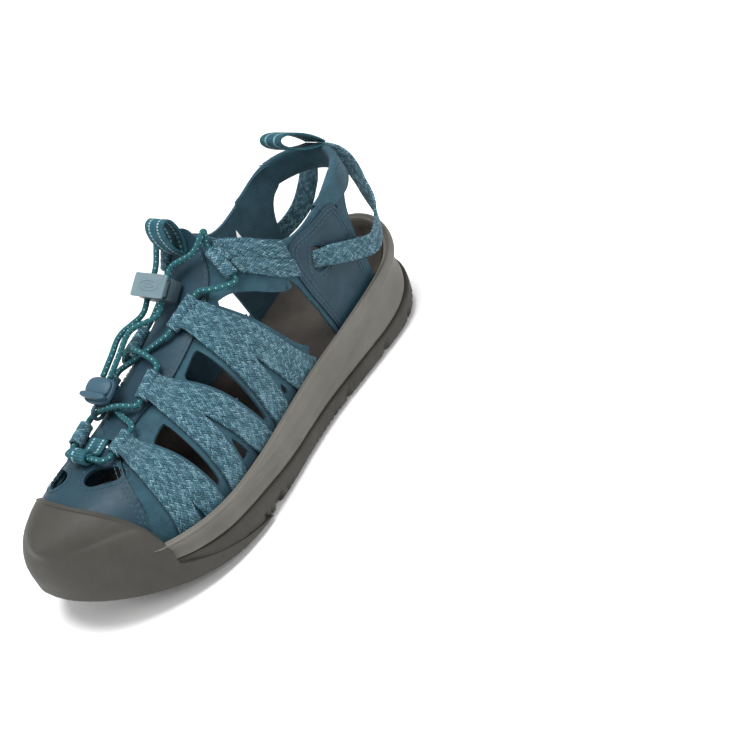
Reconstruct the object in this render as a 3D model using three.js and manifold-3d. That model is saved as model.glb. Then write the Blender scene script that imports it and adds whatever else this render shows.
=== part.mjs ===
// Left strappy sport sandal. Millimetres, +Z up, toe at -Y, outer (lateral) side at +X.
// The origin is under the middle of the outsole, on the ground.
import * as THREE from 'three';
import { mergeVertices } from 'three/addons/utils/BufferGeometryUtils.js';
import Module from 'manifold-3d';

const wasm = await Module();
wasm.setup();

// ---------------------------------------------------------------- driving dimensions
const SOLE_LENGTH = 268;
const SOLE_WIDTH = 100;
const GAP = 0.3; // clearance between touching pieces

const TOE_SPRING = 22; // how far the toe tip lifts off the ground
const HEEL_SPRING = 5;
const OUTSOLE_BASE = 6; // rubber under the midsole
const OUTSOLE_WRAP = 13; // height of the rubber's side wall
const TREAD_DEPTH = 2.6;
const TREAD_WIDTH = 2.6;
const TREAD_PITCH = 18;
const FOOT_DROP = 14; // from the midsole's rim down to its floor
const BOARD = 1.7;
const COVER = 1.2;

const LAST_INSET = 8.5; // foot form inside the outsole's outline
const LINING = 1.7;
const OVERLAY = 1.3;
const WEBBING = 1.5;
const BUMPER = 2.6;
const COLLAR_PAD = 4.6;
const COLLAR_HEIGHT = 100;

const LACE = 3;
const TUNNEL_WALL = 0.9;
const TAPE_WIDTH = 14;
const TAPE = 1.5;

const LOCK_WIDTH = 22;
const LOCK_LENGTH = 12;
const LOCK_HEIGHT = 8;
const LOCK_PLATE = 2.2;
const LOCK_TRAVEL = 2.5;
const HOOK_LENGTH = 18;
const HOOK_WIDTH = 14;
const HOOK_BASE = 3;
const HOOK_COVER = 2.2;

// ---------------------------------------------------------------- the sole's form
const { clamp, lerp, smoothstep } = THREE.MathUtils;

// A smooth curve through evenly spaced values, read at 0..1.
function profile(values) {
  const last = values.length - 1;
  const at = (k) => values[clamp(k, 0, last)];
  return (f) => {
    const u = clamp(f, 0, 1) * last;
    const i = Math.min(Math.floor(u), last - 1);
    const t = u - i;
    const [a, b, c, d] = [at(i - 1), at(i), at(i + 1), at(i + 2)];
    return b + 0.5 * t * (c - a + t * (2 * a - 5 * b + 4 * c - d + t * (3 * (b - c) + d - a)));
  };
}

const halfWidth = SOLE_WIDTH / 2;
const HALF_LENGTH = SOLE_LENGTH / 2;
// Stations run from the heel (0) to the toe (1).
const lateralShare = profile([0.66, 0.7, 0.73, 0.74, 0.76, 0.83, 0.93, 1, 0.99, 0.92, 0.84]);
const medialShare = profile([0.66, 0.69, 0.7, 0.67, 0.66, 0.7, 0.82, 0.94, 1, 0.98, 0.92]);
const wallHeight = profile([44, 41, 37.5, 34.5, 32.5, 31, 30.5, 30.5, 29, 25.5, 22]);
const formProfile = profile([158, 158, 158, 158, 158, 155, 143, 118, 92, 78, 69, 62, 56, 51, 46, 42, 38.5, 36.5,
  34.5, 32.5, 30.5]);
const TOE_DOME = 0.2; // the share of the length over which the toe rounds down
const toeDome = (f) => (1 - clamp((f - 1 + TOE_DOME) / TOE_DOME, 0, 1) ** 2.6) ** (1 / 2.6);
const formHeight = (f) => formProfile(f) * toeDome(f);
const HEEL_ROUND = 0.15;
const TOE_ROUND = 0.26;
const TOE_SHIFT = -8; // the toe's tip lies towards the inner side
const FORM_EXPONENT = 2.5;
const RIDGE_SHIFT = -8;
const FORM_BASE = 11.5; // the foot form's lower edge, below the rim
const HEEL_LEAN = 7;

const station = (y) => (HALF_LENGTH - y) / SOLE_LENGTH;
const centreLine = (f) => TOE_SHIFT * clamp((f - 0.6) / 0.4, 0, 1) ** 2;
const bottom = (f) => TOE_SPRING * clamp((f - 0.68) / 0.32, 0, 1) ** 2
  + HEEL_SPRING * clamp((0.08 - f) / 0.08, 0, 1) ** 2;
const rim = (f) => bottom(f) + wallHeight(f);
const floorAt = (f) => rim(f) - FOOT_DROP;

function roundEnds(g) {
  if (g < HEEL_ROUND) return (1 - clamp((HEEL_ROUND - g) / HEEL_ROUND, 0, 1) ** 2.2) ** (1 / 2.2);
  if (g > 1 - TOE_ROUND) return (1 - clamp((g - 1 + TOE_ROUND) / TOE_ROUND, 0, 1) ** 2.3) ** (1 / 2.3);
  return 1;
}

// The outline's x on one side (+1 outer, -1 inner), moved inwards by inset.
function outline(f, inset, side) {
  const share = inset / SOLE_LENGTH;
  const g = clamp((f - share) / (1 - 2 * share), 0, 1);
  const half = (side > 0 ? lateralShare(f) : medialShare(f)) * halfWidth - inset;
  return centreLine(f) + side * half * roundEnds(g);
}

const quarterTurn = (n) => Array.from({ length: n }, (_, i) => 1 - Math.cos((i / n) * Math.PI / 2));
const STEPS = [
  ...quarterTurn(8).map((t) => t * HEEL_ROUND),
  ...Array.from({ length: 11 }, (_, i) => lerp(HEEL_ROUND, 1 - TOE_ROUND, i / 10)),
  ...quarterTurn(10).reverse().map((t) => 1 - t * TOE_ROUND),
];

// One closed loop around the sole; point(f, side) gives a position on it.
function loopAround(inset, point) {
  const share = inset / SOLE_LENGTH;
  const stations = STEPS.map((g) => share + g * (1 - 2 * share));
  const last = stations.length - 1;
  const outer = stations.map((f) => point(f, 1));
  const inner = stations.slice(1, last).reverse().map((f) => point(f, -1));
  return [...outer, ...inner];
}

const level = (inset, height) => loopAround(inset,
  (f, side) => new THREE.Vector3(outline(f, inset, side), HALF_LENGTH - f * SOLE_LENGTH, height(f)));

// ---------------------------------------------------------------- solids
function orientOutwards(geometry) {
  const index = geometry.index.array;
  const p = geometry.attributes.position;
  const corners = [new THREE.Vector3(), new THREE.Vector3(), new THREE.Vector3()];
  let volume = 0;
  for (let i = 0; i < index.length; i += 3) {
    corners.forEach((corner, k) => corner.fromBufferAttribute(p, index[i + k]));
    volume += corners[0].dot(corners[1].clone().cross(corners[2]));
  }
  if (volume < 0) {
    for (let i = 0; i < index.length; i += 3) [index[i], index[i + 1]] = [index[i + 1], index[i]];
  }
  return geometry;
}

// Loops stacked from the first, which is closed by strips, to the last, closed the same way.
function stack(loops) {
  const count = loops[0].length;
  const half = count / 2;
  const index = [];
  loops.slice(1).forEach((_, k) => {
    for (let i = 0; i < count; i += 1) {
      const j = (i + 1) % count;
      const [a, b] = [k * count, (k + 1) * count];
      index.push(a + i, b + j, a + j, a + i, b + i, b + j);
    }
  });
  const lid = (start, flip) => {
    for (let i = 0; i < half; i += 1) {
      const quad = [i, i + 1, (count - i - 1) % count, (count - i) % count].map((k) => start + k);
      for (const [a, b, c] of [[0, 1, 2], [0, 2, 3]]) {
        const face = [quad[a], quad[b], quad[c]];
        if (new Set(face).size === 3) index.push(...(flip ? face.reverse() : face));
      }
    }
  };
  lid(0, false);
  lid((loops.length - 1) * count, true);
  const geometry = new THREE.BufferGeometry();
  const flat = loops.flat().flatMap((v) => v.toArray());
  geometry.setAttribute('position', new THREE.Float32BufferAttribute(flat, 3));
  geometry.setIndex(index);
  return orientOutwards(geometry);
}

function welded(geometry) {
  const bare = geometry.clone();
  for (const name of Object.keys(bare.attributes)) if (name !== 'position') bare.deleteAttribute(name);
  return mergeVertices(bare, 1e-4);
}

// A box bent into place; place(u, v, w) takes 0..1 along, across and through.
function bent(along, across, place) {
  const geometry = welded(new THREE.BoxGeometry(1, 1, 1, along, across, 1));
  const p = geometry.attributes.position;
  for (let i = 0; i < p.count; i += 1) {
    const v = place(p.getX(i) + 0.5, p.getY(i) + 0.5, p.getZ(i) + 0.5);
    p.setXYZ(i, v.x, v.y, v.z);
  }
  return orientOutwards(geometry);
}

function solid(geometry) {
  const mesh = geometry.index ? geometry : welded(geometry);
  return new wasm.Manifold(new wasm.Mesh({
    numProp: 3,
    vertProperties: Float32Array.from(mesh.attributes.position.array),
    triVerts: Uint32Array.from(mesh.index.array),
  }));
}

function geometryOf(manifold) {
  const mesh = manifold.getMesh();
  const geometry = new THREE.BufferGeometry();
  geometry.setAttribute('position', new THREE.Float32BufferAttribute(Array.from(mesh.vertProperties), 3));
  geometry.setIndex(Array.from(mesh.triVerts));
  return geometry;
}

const cut = (geometry, ...cutters) => geometryOf(cutters.reduce((m, c) => m.subtract(solid(c)), solid(geometry)));
const join = (...pieces) => geometryOf(pieces.map(solid).reduce((a, b) => a.add(b)));

function block(minimum, maximum) {
  const [a, b] = [new THREE.Vector3(...minimum), new THREE.Vector3(...maximum)];
  const size = b.clone().sub(a);
  const geometry = welded(new THREE.BoxGeometry(size.x, size.y, size.z));
  const middle = a.add(b).multiplyScalar(0.5);
  return geometry.translate(middle.x, middle.y, middle.z);
}

// ---------------------------------------------------------------- the foot form
// turn 0 is the outer lower edge, half a turn the inner one; lift stands off the form.
function formPoint(f, turn, lift) {
  const side = Math.cos(turn) >= 0 ? 1 : -1;
  const ridge = centreLine(f) + RIDGE_SHIFT * smoothstep(0.95 - f, 0, 0.3);
  const reach = outline(f, LAST_INSET - lift, side) - ridge;
  const x = ridge + reach * Math.abs(Math.cos(turn)) ** (2 / FORM_EXPONENT);
  const rise = (formHeight(f) + lift) * Math.abs(Math.sin(turn)) ** (2 / FORM_EXPONENT);
  return leaned(x, f, rim(f) - FORM_BASE + rise);
}

function leaned(x, f, z) {
  const lean = HEEL_LEAN * clamp((z - 50) / 55, 0, 1.2) ** 1.5 * clamp(1 - f / 0.4, 0, 1);
  return new THREE.Vector3(x, HALF_LENGTH - f * SOLE_LENGTH - lean, z);
}

// The turn that lies "around" millimetres from the ridge (+ outer side), measured over the form.
const GIRTH_STEPS = 40;
function girth(f, side) {
  const lengths = [0];
  let before = formPoint(f, Math.PI / 2, 0);
  for (let i = 1; i <= GIRTH_STEPS; i += 1) {
    const here = formPoint(f, Math.PI / 2 * (1 - side * i / GIRTH_STEPS), 0);
    lengths.push(lengths[i - 1] + here.distanceTo(before));
    before = here;
  }
  return lengths;
}

function onForm(y, around, lift) {
  const f = station(y);
  const side = around >= 0 ? 1 : -1;
  const lengths = girth(f, side);
  const wanted = Math.min(Math.abs(around), lengths[GIRTH_STEPS]);
  const i = Math.min(lengths.findIndex((s) => s >= wanted - 1e-9), GIRTH_STEPS) || 1;
  const t = i - 1 + (wanted - lengths[i - 1]) / (lengths[i] - lengths[i - 1]);
  return formPoint(f, Math.PI / 2 * (1 - side * t / GIRTH_STEPS), lift);
}

const edgeGirth = (y, side) => girth(station(y), side)[GIRTH_STEPS];

// A point on the form's side wall at height z.
function onSide(y, z, side, lift) {
  const f = station(y);
  const ridge = centreLine(f) + RIDGE_SHIFT * smoothstep(0.95 - f, 0, 0.3);
  const up = clamp((z - rim(f) + FORM_BASE) / (formHeight(f) + lift), 0, 1);
  const share = (1 - up ** FORM_EXPONENT) ** (1 / FORM_EXPONENT);
  return leaned(ridge + (outline(f, LAST_INSET - lift, side) - ridge) * share, f, z);
}

const footBase = (y) => rim(station(y)) - FORM_BASE;

// A point on the wall behind the heel, "around" millimetres from the middle of the heel.
const HEEL_STEPS = 60;
function onHeel(around, z, lift) {
  const side = around >= 0 ? 1 : -1;
  const back = (LAST_INSET - lift) / SOLE_LENGTH;
  const at = (i) => {
    const f = back + 0.3 * (1 - Math.cos((i / HEEL_STEPS) * Math.PI / 2));
    return onSide(HALF_LENGTH - f * SOLE_LENGTH, z, side, lift);
  };
  let before = at(0);
  let left = Math.abs(around);
  for (let i = 1; i <= HEEL_STEPS; i += 1) {
    const here = at(i);
    const step = here.distanceTo(before);
    if (left <= step) return before.lerp(here, left / step);
    left -= step;
    before = here;
  }
  return before;
}

// ---------------------------------------------------------------- the group
const sandal = new THREE.Group();
const COLOURS = {
  rubber: [0x4b4843, 0.85], foam: [0x8a857c, 0.8], board: [0x9a8f7c, 0.9], footbed: [0x5b524a, 0.9],
  overlay: [0x1d4350, 0.55], lining: [0x2f5f6b, 0.9], webbing: [0x4f7c90, 0.9], tape: [0x1f4a55, 0.8],
  lace: [0x1f6e70, 0.75], lock: [0x6f8284, 0.45], steel: [0xa0a4a6, 0.35], hook: [0x3d525c, 0.6],
  label: [0xd8d8d4, 0.7],
};

function add(name, geometry, look, metalness = 0) {
  const [color, roughness] = COLOURS[look];
  const mesh = new THREE.Mesh(geometry, new THREE.MeshStandardMaterial({ color, roughness, metalness }));
  mesh.name = name;
  sandal.add(mesh);
  return mesh;
}

const SIDES = [['lateral', 1], ['medial', -1]];

// ---------------------------------------------------------------- sole unit
const CUP_WALL = 3;
const SOLE_STEP = 0.5;
const RIM_WALL = 3.3; // the midsole's inner wall, inside the outline
const TOE_LINE = -105; // where the toe bumper's upper edge crosses the ridge
const SKIRT = 1.6; // thickness of the bumper where it covers the midsole's wall

function treadGroove(middle, turnOver) {
  const reach = halfWidth + 8;
  return bent(12, 1, (u, v, w) => {
    const x = lerp(-reach, reach, u);
    const wave = 2.2 * Math.sin(x / 7 + turnOver) + 1.3 * Math.sin(x / 3.1 + 2 * turnOver);
    const y = middle + wave + (v - 0.5) * TREAD_WIDTH;
    return new THREE.Vector3(x, y, bottom(station(y)) + lerp(-3, TREAD_DEPTH, w));
  });
}

function makeOutsole() {
  const above = (extra) => (f) => bottom(f) + extra;
  const blank = stack([
    level(5.5, above(0)), level(2, above(2.5)), level(0.3, above(8)), level(0, above(OUTSOLE_WRAP)),
    level(CUP_WALL, above(OUTSOLE_WRAP)), level(CUP_WALL + 0.2, above(OUTSOLE_BASE)),
  ]);
  const count = Math.floor((SOLE_LENGTH - 40) / TREAD_PITCH);
  const first = -(count - 1) / 2 * TREAD_PITCH;
  const grooves = Array.from({ length: count }, (_, i) => treadGroove(first + i * TREAD_PITCH, i * 1.3));
  return cut(blank, ...grooves);
}

function makeMidsole() {
  const above = (extra) => (f) => bottom(f) + extra;
  const seat = OUTSOLE_WRAP + GAP;
  const side = (share) => (f) => lerp(bottom(f) + seat, rim(f), share);
  const inside = CUP_WALL + 0.5;
  const body = stack([
    level(inside, above(OUTSOLE_BASE + GAP)), level(inside, above(seat)), level(SOLE_STEP, above(seat)),
    level(0.9, side(0.22)), level(1.7, side(0.55)), level(0.6, side(0.88)), level(1.1, rim),
    level(2.5, rim), level(RIM_WALL, (f) => rim(f) - 2), level(RIM_WALL + 0.1, floorAt),
  ]);
  const around = stack([level(-4, () => -5), level(-4, (f) => rim(f) + 30), level(SKIRT + GAP, (f) => rim(f) + 30),
    level(SKIRT + GAP, () => -5)]);
  const toe = solid(around).intersect(solid(toeBlock(GAP)));
  return geometryOf(solid(body).subtract(toe));
}

const bumperEdge = (x) => TOE_LINE + 0.007 * x * x;

// Everything in front of the bumper's upper edge, moved back by extra.
function toeBlock(extra) {
  return bent(12, 1, (u, v, w) => {
    const x = lerp(-70, 70, u);
    return new THREE.Vector3(x, lerp(-HALF_LENGTH - 20, bumperEdge(x) + extra, v), lerp(-10, 130, w));
  });
}

// Loops over the form, none of them lower than "least" above the rim.
function formLoops(lift, from, least) {
  const turns = Array.from({ length: 8 }, (_, i) => lerp(from, 0.97, i / 7) * Math.PI / 2);
  return turns.map((turn) => loopAround(LAST_INSET - lift, (f, side) => {
    const point = formPoint(f, side > 0 ? turn : Math.PI - turn, lift);
    return point.setZ(Math.max(point.z, rim(f) + least));
  }));
}

function makeBumper() {
  const above = (extra) => (f) => bottom(f) + extra;
  const seat = OUTSOLE_WRAP + GAP;
  const inside = LINING + 2 * GAP;
  const outer = stack([level(0, above(seat)), level(-0.6, (f) => lerp(bottom(f) + seat, rim(f), 0.5)),
    level(0.6, (f) => rim(f) - 1), ...formLoops(inside + BUMPER, 0.32, BUMPER)]);
  const rimCover = stack([level(SKIRT, above(-5)), level(SKIRT, (f) => rim(f) + GAP),
    level(RIM_WALL + 0.5, (f) => rim(f) + GAP), ...formLoops(inside, 0.3, GAP)]);
  return geometryOf(solid(outer).subtract(solid(rimCover)).intersect(solid(toeBlock(0))));
}

const dished = (drop) => [
  level(23, (f) => rim(f) - 7.2 - drop), level(15, (f) => rim(f) - 6.4 - drop), level(9.2, (f) => rim(f) - 4.4 - drop)];

add('outsole', makeOutsole(), 'rubber');
add('midsole', makeMidsole(), 'foam');
add('toe_bumper', makeBumper(), 'rubber');
add('lasting_board', stack([level(RIM_WALL + 0.5, (f) => floorAt(f) + GAP),
  level(RIM_WALL + 0.5, (f) => floorAt(f) + GAP + BOARD)]), 'board');
add('footbed_foam', stack([level(9.2, (f) => floorAt(f) + BOARD + 2 * GAP), ...dished(COVER + GAP).reverse()]), 'foam');
add('footbed_cover', stack([...dished(COVER), ...dished(0).reverse()]), 'footbed');

// ---------------------------------------------------------------- straps and openings on the form
const LAYER_GAP = 0.8; // between layers of the upper
const OVER_LINING = GAP + LINING + LAYER_GAP; // where overlays and webbing start
const TONGUE = 1;

// A strip over the form from one [y, around] to another, "edge" meaning the form's lower edge.
function strip(from, to, width, low, high, along = 8) {
  const reach = ([y, around]) => (Math.abs(around) === Infinity
    ? Math.sign(around) * edgeGirth(y, Math.sign(around)) : around);
  const [start, end] = [new THREE.Vector2(from[0], reach(from)), new THREE.Vector2(to[0], reach(to))];
  return bent(along, 2, (u, v, w) => {
    const y = lerp(start.x, end.x, u) + (v - 0.5) * width(u);
    const around = lerp(start.y, end.y, u);
    const [below, on] = [low(Math.abs(around)), high(Math.abs(around))];
    return onForm(y, around, lerp(below, on, w));
  });
}

// An oval opening through the lining.
function opening(from, to, width) {
  return strip(from, to, (u) => width * Math.max(0.3, Math.sin(Math.PI * lerp(0.08, 0.92, u)) ** 0.6),
    () => -3, () => 8, 5);
}

// Each strap pair: the lace tunnel's ends, then each leg's root and width.
const STRAPS = [
  { tunnel: [[-77, 10], [-65, 12]], legs: [[-83, 13], [-66, 13]] },
  { tunnel: [[-48, 10], [-34, 10]], legs: [[-49, 13.5], [-20, 14]] },
  { tunnel: [[-13, 9], [3, 14]], legs: [[-3, 14], [28, 14.5]] },
];
const MEDIAL_STRAPS = [
  { tunnel: [[-76, 14], [-64, 15]], legs: [[-79, 13], [-62, 15]] },
  { tunnel: [[-50, 16], [-36, 16]], legs: [[-45, 14], [-22, 15]] },
  { tunnel: [[-24.5, 16], [-8, 18]], legs: [[-2, 15], [22, 15]] },
];
const TUNNEL_RADIUS = LACE / 2 + 2.6 * GAP;
const TUNNEL_LIFT = OVER_LINING + TONGUE + 2 * GAP + TUNNEL_RADIUS + TUNNEL_WALL;

function pipe(points, radius, sides, steps) {
  const path = points.length > 2 ? new THREE.CatmullRomCurve3(points, false, 'centripetal')
    : new THREE.LineCurve3(...points);
  const ring = new THREE.Shape();
  ring.absarc(0, 0, radius, 0, 2 * Math.PI);
  return welded(new THREE.ExtrudeGeometry(ring, { steps, curveSegments: sides / 2, extrudePath: path }));
}

const towards = (a, b, distance) => a.clone().add(b.clone().sub(a).setLength(distance));

function makeStrap(side, { tunnel, legs }) {
  const ends = tunnel.map(([y, around]) => onForm(y, side * around, TUNNEL_LIFT));
  const sleeve = pipe(ends, TUNNEL_RADIUS + TUNNEL_WALL, 10, 1);
  const bore = pipe([towards(ends[0], ends[1], -5), towards(ends[1], ends[0], -5)], TUNNEL_RADIUS, 10, 1);
  const crest = (tunnel[0][1] + tunnel[1][1]) / 2;
  const rise = (around) => OVER_LINING + (TONGUE + 2 * GAP) * smoothstep(28 - around, 0, 5);
  const webs = legs.map(([root, width], i) => {
    const y = lerp(tunnel[0][0], tunnel[1][0], i === 0 ? 0.42 : 0.58);
    const room = Math.abs(tunnel[1][0] - tunnel[0][0]) * 0.72;
    return strip([y, side * (crest + 0.4)], [root, side * Infinity], (u) => lerp(room, width, smoothstep(u, 0, 0.35)),
      rise, (around) => rise(around) + WEBBING, 10);
  });
  return cut(join(sleeve, ...webs), bore);
}

SIDES.forEach(([name, side]) => {
  (side > 0 ? STRAPS : MEDIAL_STRAPS).forEach((strap, i) => {
    add(`strap_${name}_${i + 1}`, makeStrap(side, strap), 'webbing');
  });
});

// ---------------------------------------------------------------- forefoot lining, vamp and tongue
const TONGUE_TOP = 27;
const SEAM_Y = 44; // where the forefoot lining meets the quarter linings
const openings = [
  [[-62, 24], [-57, 64], 9], [[-44, 34], [-33, 64], 9], [[-22, 22], [-11, 66], 13],
  [[0, 38], [14, 70], 10],
];

// The open window between the last strap, the ankle band and the quarter, as [y, z] corners.
const ANKLE_WINDOW = [[16, 87], [28, 83], [45, 71], [45, 5], [39, 5], [36, 30], [30, 60], [22, 78]];
function ankleOpening(side) {
  const window = new THREE.Shape(ANKLE_WINDOW.map(([y, z]) => new THREE.Vector2(y, z)));
  const tool = welded(new THREE.ExtrudeGeometry(window, { depth: 60, bevelEnabled: false }));
  return tool.rotateX(Math.PI / 2).rotateZ(Math.PI / 2).translate(side > 0 ? 4 : -76, 0, 0);
}

function makeForefootLining() {
  const top = (v) => lerp(TONGUE_TOP - 1, SEAM_Y - GAP, smoothstep(Math.abs(v - 0.5), 0.06, 0.24));
  const shell = bent(14, 16, (u, v, w) => {
    const y = lerp(-HALF_LENGTH + 22, top(v), u);
    const around = v < 0.5 ? -edgeGirth(y, -1) * (1 - 2 * v) : edgeGirth(y, 1) * (2 * v - 1);
    return onForm(y, around, lerp(GAP, GAP + LINING, w));
  });
  const holes = SIDES.flatMap(([, side]) => openings.map(([from, to, width]) => opening(
    [from[0] - (side < 0 ? 3 : 0), side * from[1]], [to[0] - (side < 0 ? 4 : 0), side * to[1] * (side < 0 ? 0.86 : 1)],
    width)));
  return cut(shell, ...holes, ...SIDES.map(([, side]) => ankleOpening(side)));
}

const vampOuter = profile([44, 38, 22, 9, 6]);
const VAMP_TOP = -66;

function makeVamp() {
  const panel = bent(10, 10, (u, v, w) => {
    const half = vampOuter(u);
    const around = lerp(-half - 3, half, v);
    const lip = [0, 1, 2].reduce((y) => bumperEdge(onForm(y, around, OVER_LINING + OVERLAY).x), TOE_LINE);
    const y = lerp(lip + 3 * GAP, VAMP_TOP, u);
    return onForm(y, around, lerp(OVER_LINING, OVER_LINING + OVERLAY, w));
  });
  const through = [() => -1, () => 6];
  const round = (u) => 7 * Math.max(0.35, Math.sin(Math.PI * lerp(0.1, 0.9, u)));
  return cut(panel, strip([-77, -9], [-74, -1], () => 3, ...through, 3),
    strip([-88, 4], [-87, 13], round, ...through, 4), strip([-87, -22], [-88, -12], round, ...through, 4));
}

add('forefoot_lining', makeForefootLining(), 'lining');
add('vamp_panel', makeVamp(), 'overlay');
add('tongue', bent(16, 6, (u, v, w) => {
  const y = lerp(VAMP_TOP + GAP, TONGUE_TOP, u);
  const narrowing = smoothstep(u, 0.72, 0.85);
  const half = lerp(8, 19, smoothstep(u, 0, 0.35)) - 6 * narrowing;
  return onForm(y, lerp(7 * narrowing - half, half, v), lerp(OVER_LINING, OVER_LINING + TONGUE, w));
}), 'overlay');

// ---------------------------------------------------------------- quarters, ankle bands and heel
// Columns of [y, lower z, upper z]; a lower z of 0 is the form's lower edge.
const QUARTER_LINING = [[SEAM_Y, 84, 106], [46.5, 75, 102], [49, 62, 98.5], [52, 46, 95.5], [55, 30, 93], [57.5, 0, 92],
  [66, 0, 91.5], [76, 0, 92.5], [86, 0, 94.5], [93, 0, 96.5], [96, 0, 97.5], [97.5, 58, 98], [99.5, 74, 98.5], [104, 84, 99]];
const QUARTER_OVERLAY = [[50, 72, 84], [51.5, 58, 88.5], [54, 44, 90], [57, 33, 90.3], [60.5, 0, 90.3], [70, 0, 89.5],
  [80, 0, 89.5], [88, 0, 90], [91.5, 0, 89], [93.5, 56, 86], [96, 70, 83]];

function sidePanel(side, columns, low, high, across = 8) {
  const spans = columns.length - 1;
  return bent(spans, across, (u, v, w) => {
    const [y, below, above] = columns[Math.round(u * spans)];
    const z = lerp(below || footBase(y), above, v);
    return onSide(y, z, side, lerp(low, high, w));
  });
}

// The drop-shaped slot that the heel webbing comes out of.
const SLOT_Y = 68;
const SLOT_Z = 73;
const SLOT_LENGTH = 11;
const HEEL_WEB_WIDTH = 11;
function slotCutter(side) {
  const drop = new THREE.Shape();
  drop.absellipse(0, 0, SLOT_LENGTH / 2, HEEL_WEB_WIDTH / 2 + 0.8, 0, 2 * Math.PI, false, 0);
  const tool = welded(new THREE.ExtrudeGeometry(drop, { depth: 40, curveSegments: 6, bevelEnabled: false }));
  tool.rotateX(Math.PI / 2).rotateZ(Math.PI / 2).translate(side > 0 ? 8 : -48, SLOT_Y, SLOT_Z);
  return tool;
}

// Columns of the ankle bands, and their lace tunnels' lower and upper ends, as [y, z].
const ANKLE_BAND = [[23, 96, 110], [27, 93, 112], [31, 89.5, 111.5], [36, 84.5, 108.5], [42, 79, 103.5], [49.2, 73, 97]];
const ANKLE_TUNNEL = [[19.5, 97.5], [22.5, 110]];
const ankleEnds = (side) => ANKLE_TUNNEL.map(([y, z]) => onSide(y, z, side, TUNNEL_LIFT));

function makeAnkleBand(side) {
  const spans = ANKLE_BAND.length - 1;
  const band = bent(spans * 2, 4, (u, v, w) => {
    const k = Math.min(Math.floor(u * spans + 1e-6), spans - 1);
    const share = u * spans - k;
    const [y, below, above] = [0, 1, 2].map((c) => lerp(ANKLE_BAND[k][c], ANKLE_BAND[k + 1][c], share));
    const low = OVER_LINING + (TONGUE + 2 * GAP) * smoothstep(35 - y, 0, 8);
    return onSide(y, lerp(below, above, v), side, lerp(low, low + WEBBING, w));
  });
  const ends = ankleEnds(side);
  const sleeve = pipe(ends, TUNNEL_RADIUS + TUNNEL_WALL, 10, 1);
  const bore = pipe([towards(ends[0], ends[1], -5), towards(ends[1], ends[0], -5)], TUNNEL_RADIUS, 10, 1);
  return cut(join(sleeve, band), bore);
}

SIDES.forEach(([name, side]) => {
  const slot = slotCutter(side);
  add(`quarter_lining_${name}`, cut(sidePanel(side, QUARTER_LINING, GAP, GAP + LINING), slot), 'lining');
  add(`quarter_overlay_${name}`, cut(sidePanel(side, QUARTER_OVERLAY, OVER_LINING, OVER_LINING + OVERLAY), slot),
    'overlay');
  add(`ankle_band_${name}`, makeAnkleBand(side), 'webbing');
});

const BAND_BOTTOM = 84;
const BAND_FRONT = 104; // the quarter linings end here, the heel band starts just behind

function makeHeelBand() {
  const ring = bent(20, 3, (u, v, w) => {
    const around = lerp(-56, 56, u);
    const sag = 1.5 * (1 - Math.abs(2 * u - 1));
    return onHeel(around, lerp(BAND_BOTTOM + sag, COLLAR_HEIGHT + sag * 0.6, v), lerp(GAP, GAP + COLLAR_PAD, w));
  });
  const behind = bent(1, 8, (u, v, w) => {
    const z = lerp(60, 125, v);
    const front = leaned(0, station(BAND_FRONT + GAP), z).y;
    return new THREE.Vector3(lerp(-80, 80, u), lerp(front, HALF_LENGTH + 40, w), z);
  });
  return geometryOf(solid(ring).intersect(solid(behind)));
}

// A flat strip along a path; across(t) is the direction of its width.
function ribbon(points, width, thickness, along, across) {
  const path = new THREE.CatmullRomCurve3(points, false, 'centripetal');
  return bent(along, 1, (u, v, w) => {
    const direction = path.getTangentAt(u);
    const sideways = across(u).clone().projectOnPlane(direction).normalize();
    const normal = direction.clone().cross(sideways);
    return path.getPointAt(u).addScaledVector(sideways, (v - 0.5) * width)
      .addScaledVector(normal, (w - 0.5) * thickness);
  });
}

const HEEL_WEB_LIFT = GAP + COLLAR_PAD + GAP + WEBBING / 2;
function makeHeelWebbing() {
  const half = (side) => [
    onSide(SLOT_Y + 1, SLOT_Z, side, OVER_LINING + OVERLAY + GAP + WEBBING / 2 + 0.4),
    onSide(86, 63, side, 7.5), onSide(103, 56, side, 8.5),
    new THREE.Vector3(side * 27, 118, 62), new THREE.Vector3(side * 19, 124.5, 76),
    onHeel(side * 12, 90, HEEL_WEB_LIFT + 2.2),
  ];
  const points = [...half(1), onHeel(0, 93, HEEL_WEB_LIFT + 1.4), ...half(-1).reverse()];
  const up = new THREE.Vector3(0, -0.22, 1);
  const back = new THREE.Vector3(0, 1, 0.2);
  return ribbon(points, HEEL_WEB_WIDTH, WEBBING, 44, (u) => {
    const turn = smoothstep(Math.abs(u - 0.5), 0.16, 0.34);
    const side = u < 0.5 ? 1 : -1;
    return up.clone().lerp(back.clone().setX(side * 0.6), 0.25 * (1 - turn));
  });
}

add('heel_band', makeHeelBand(), 'lining');
add('heel_webbing', makeHeelWebbing(), 'webbing');

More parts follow.
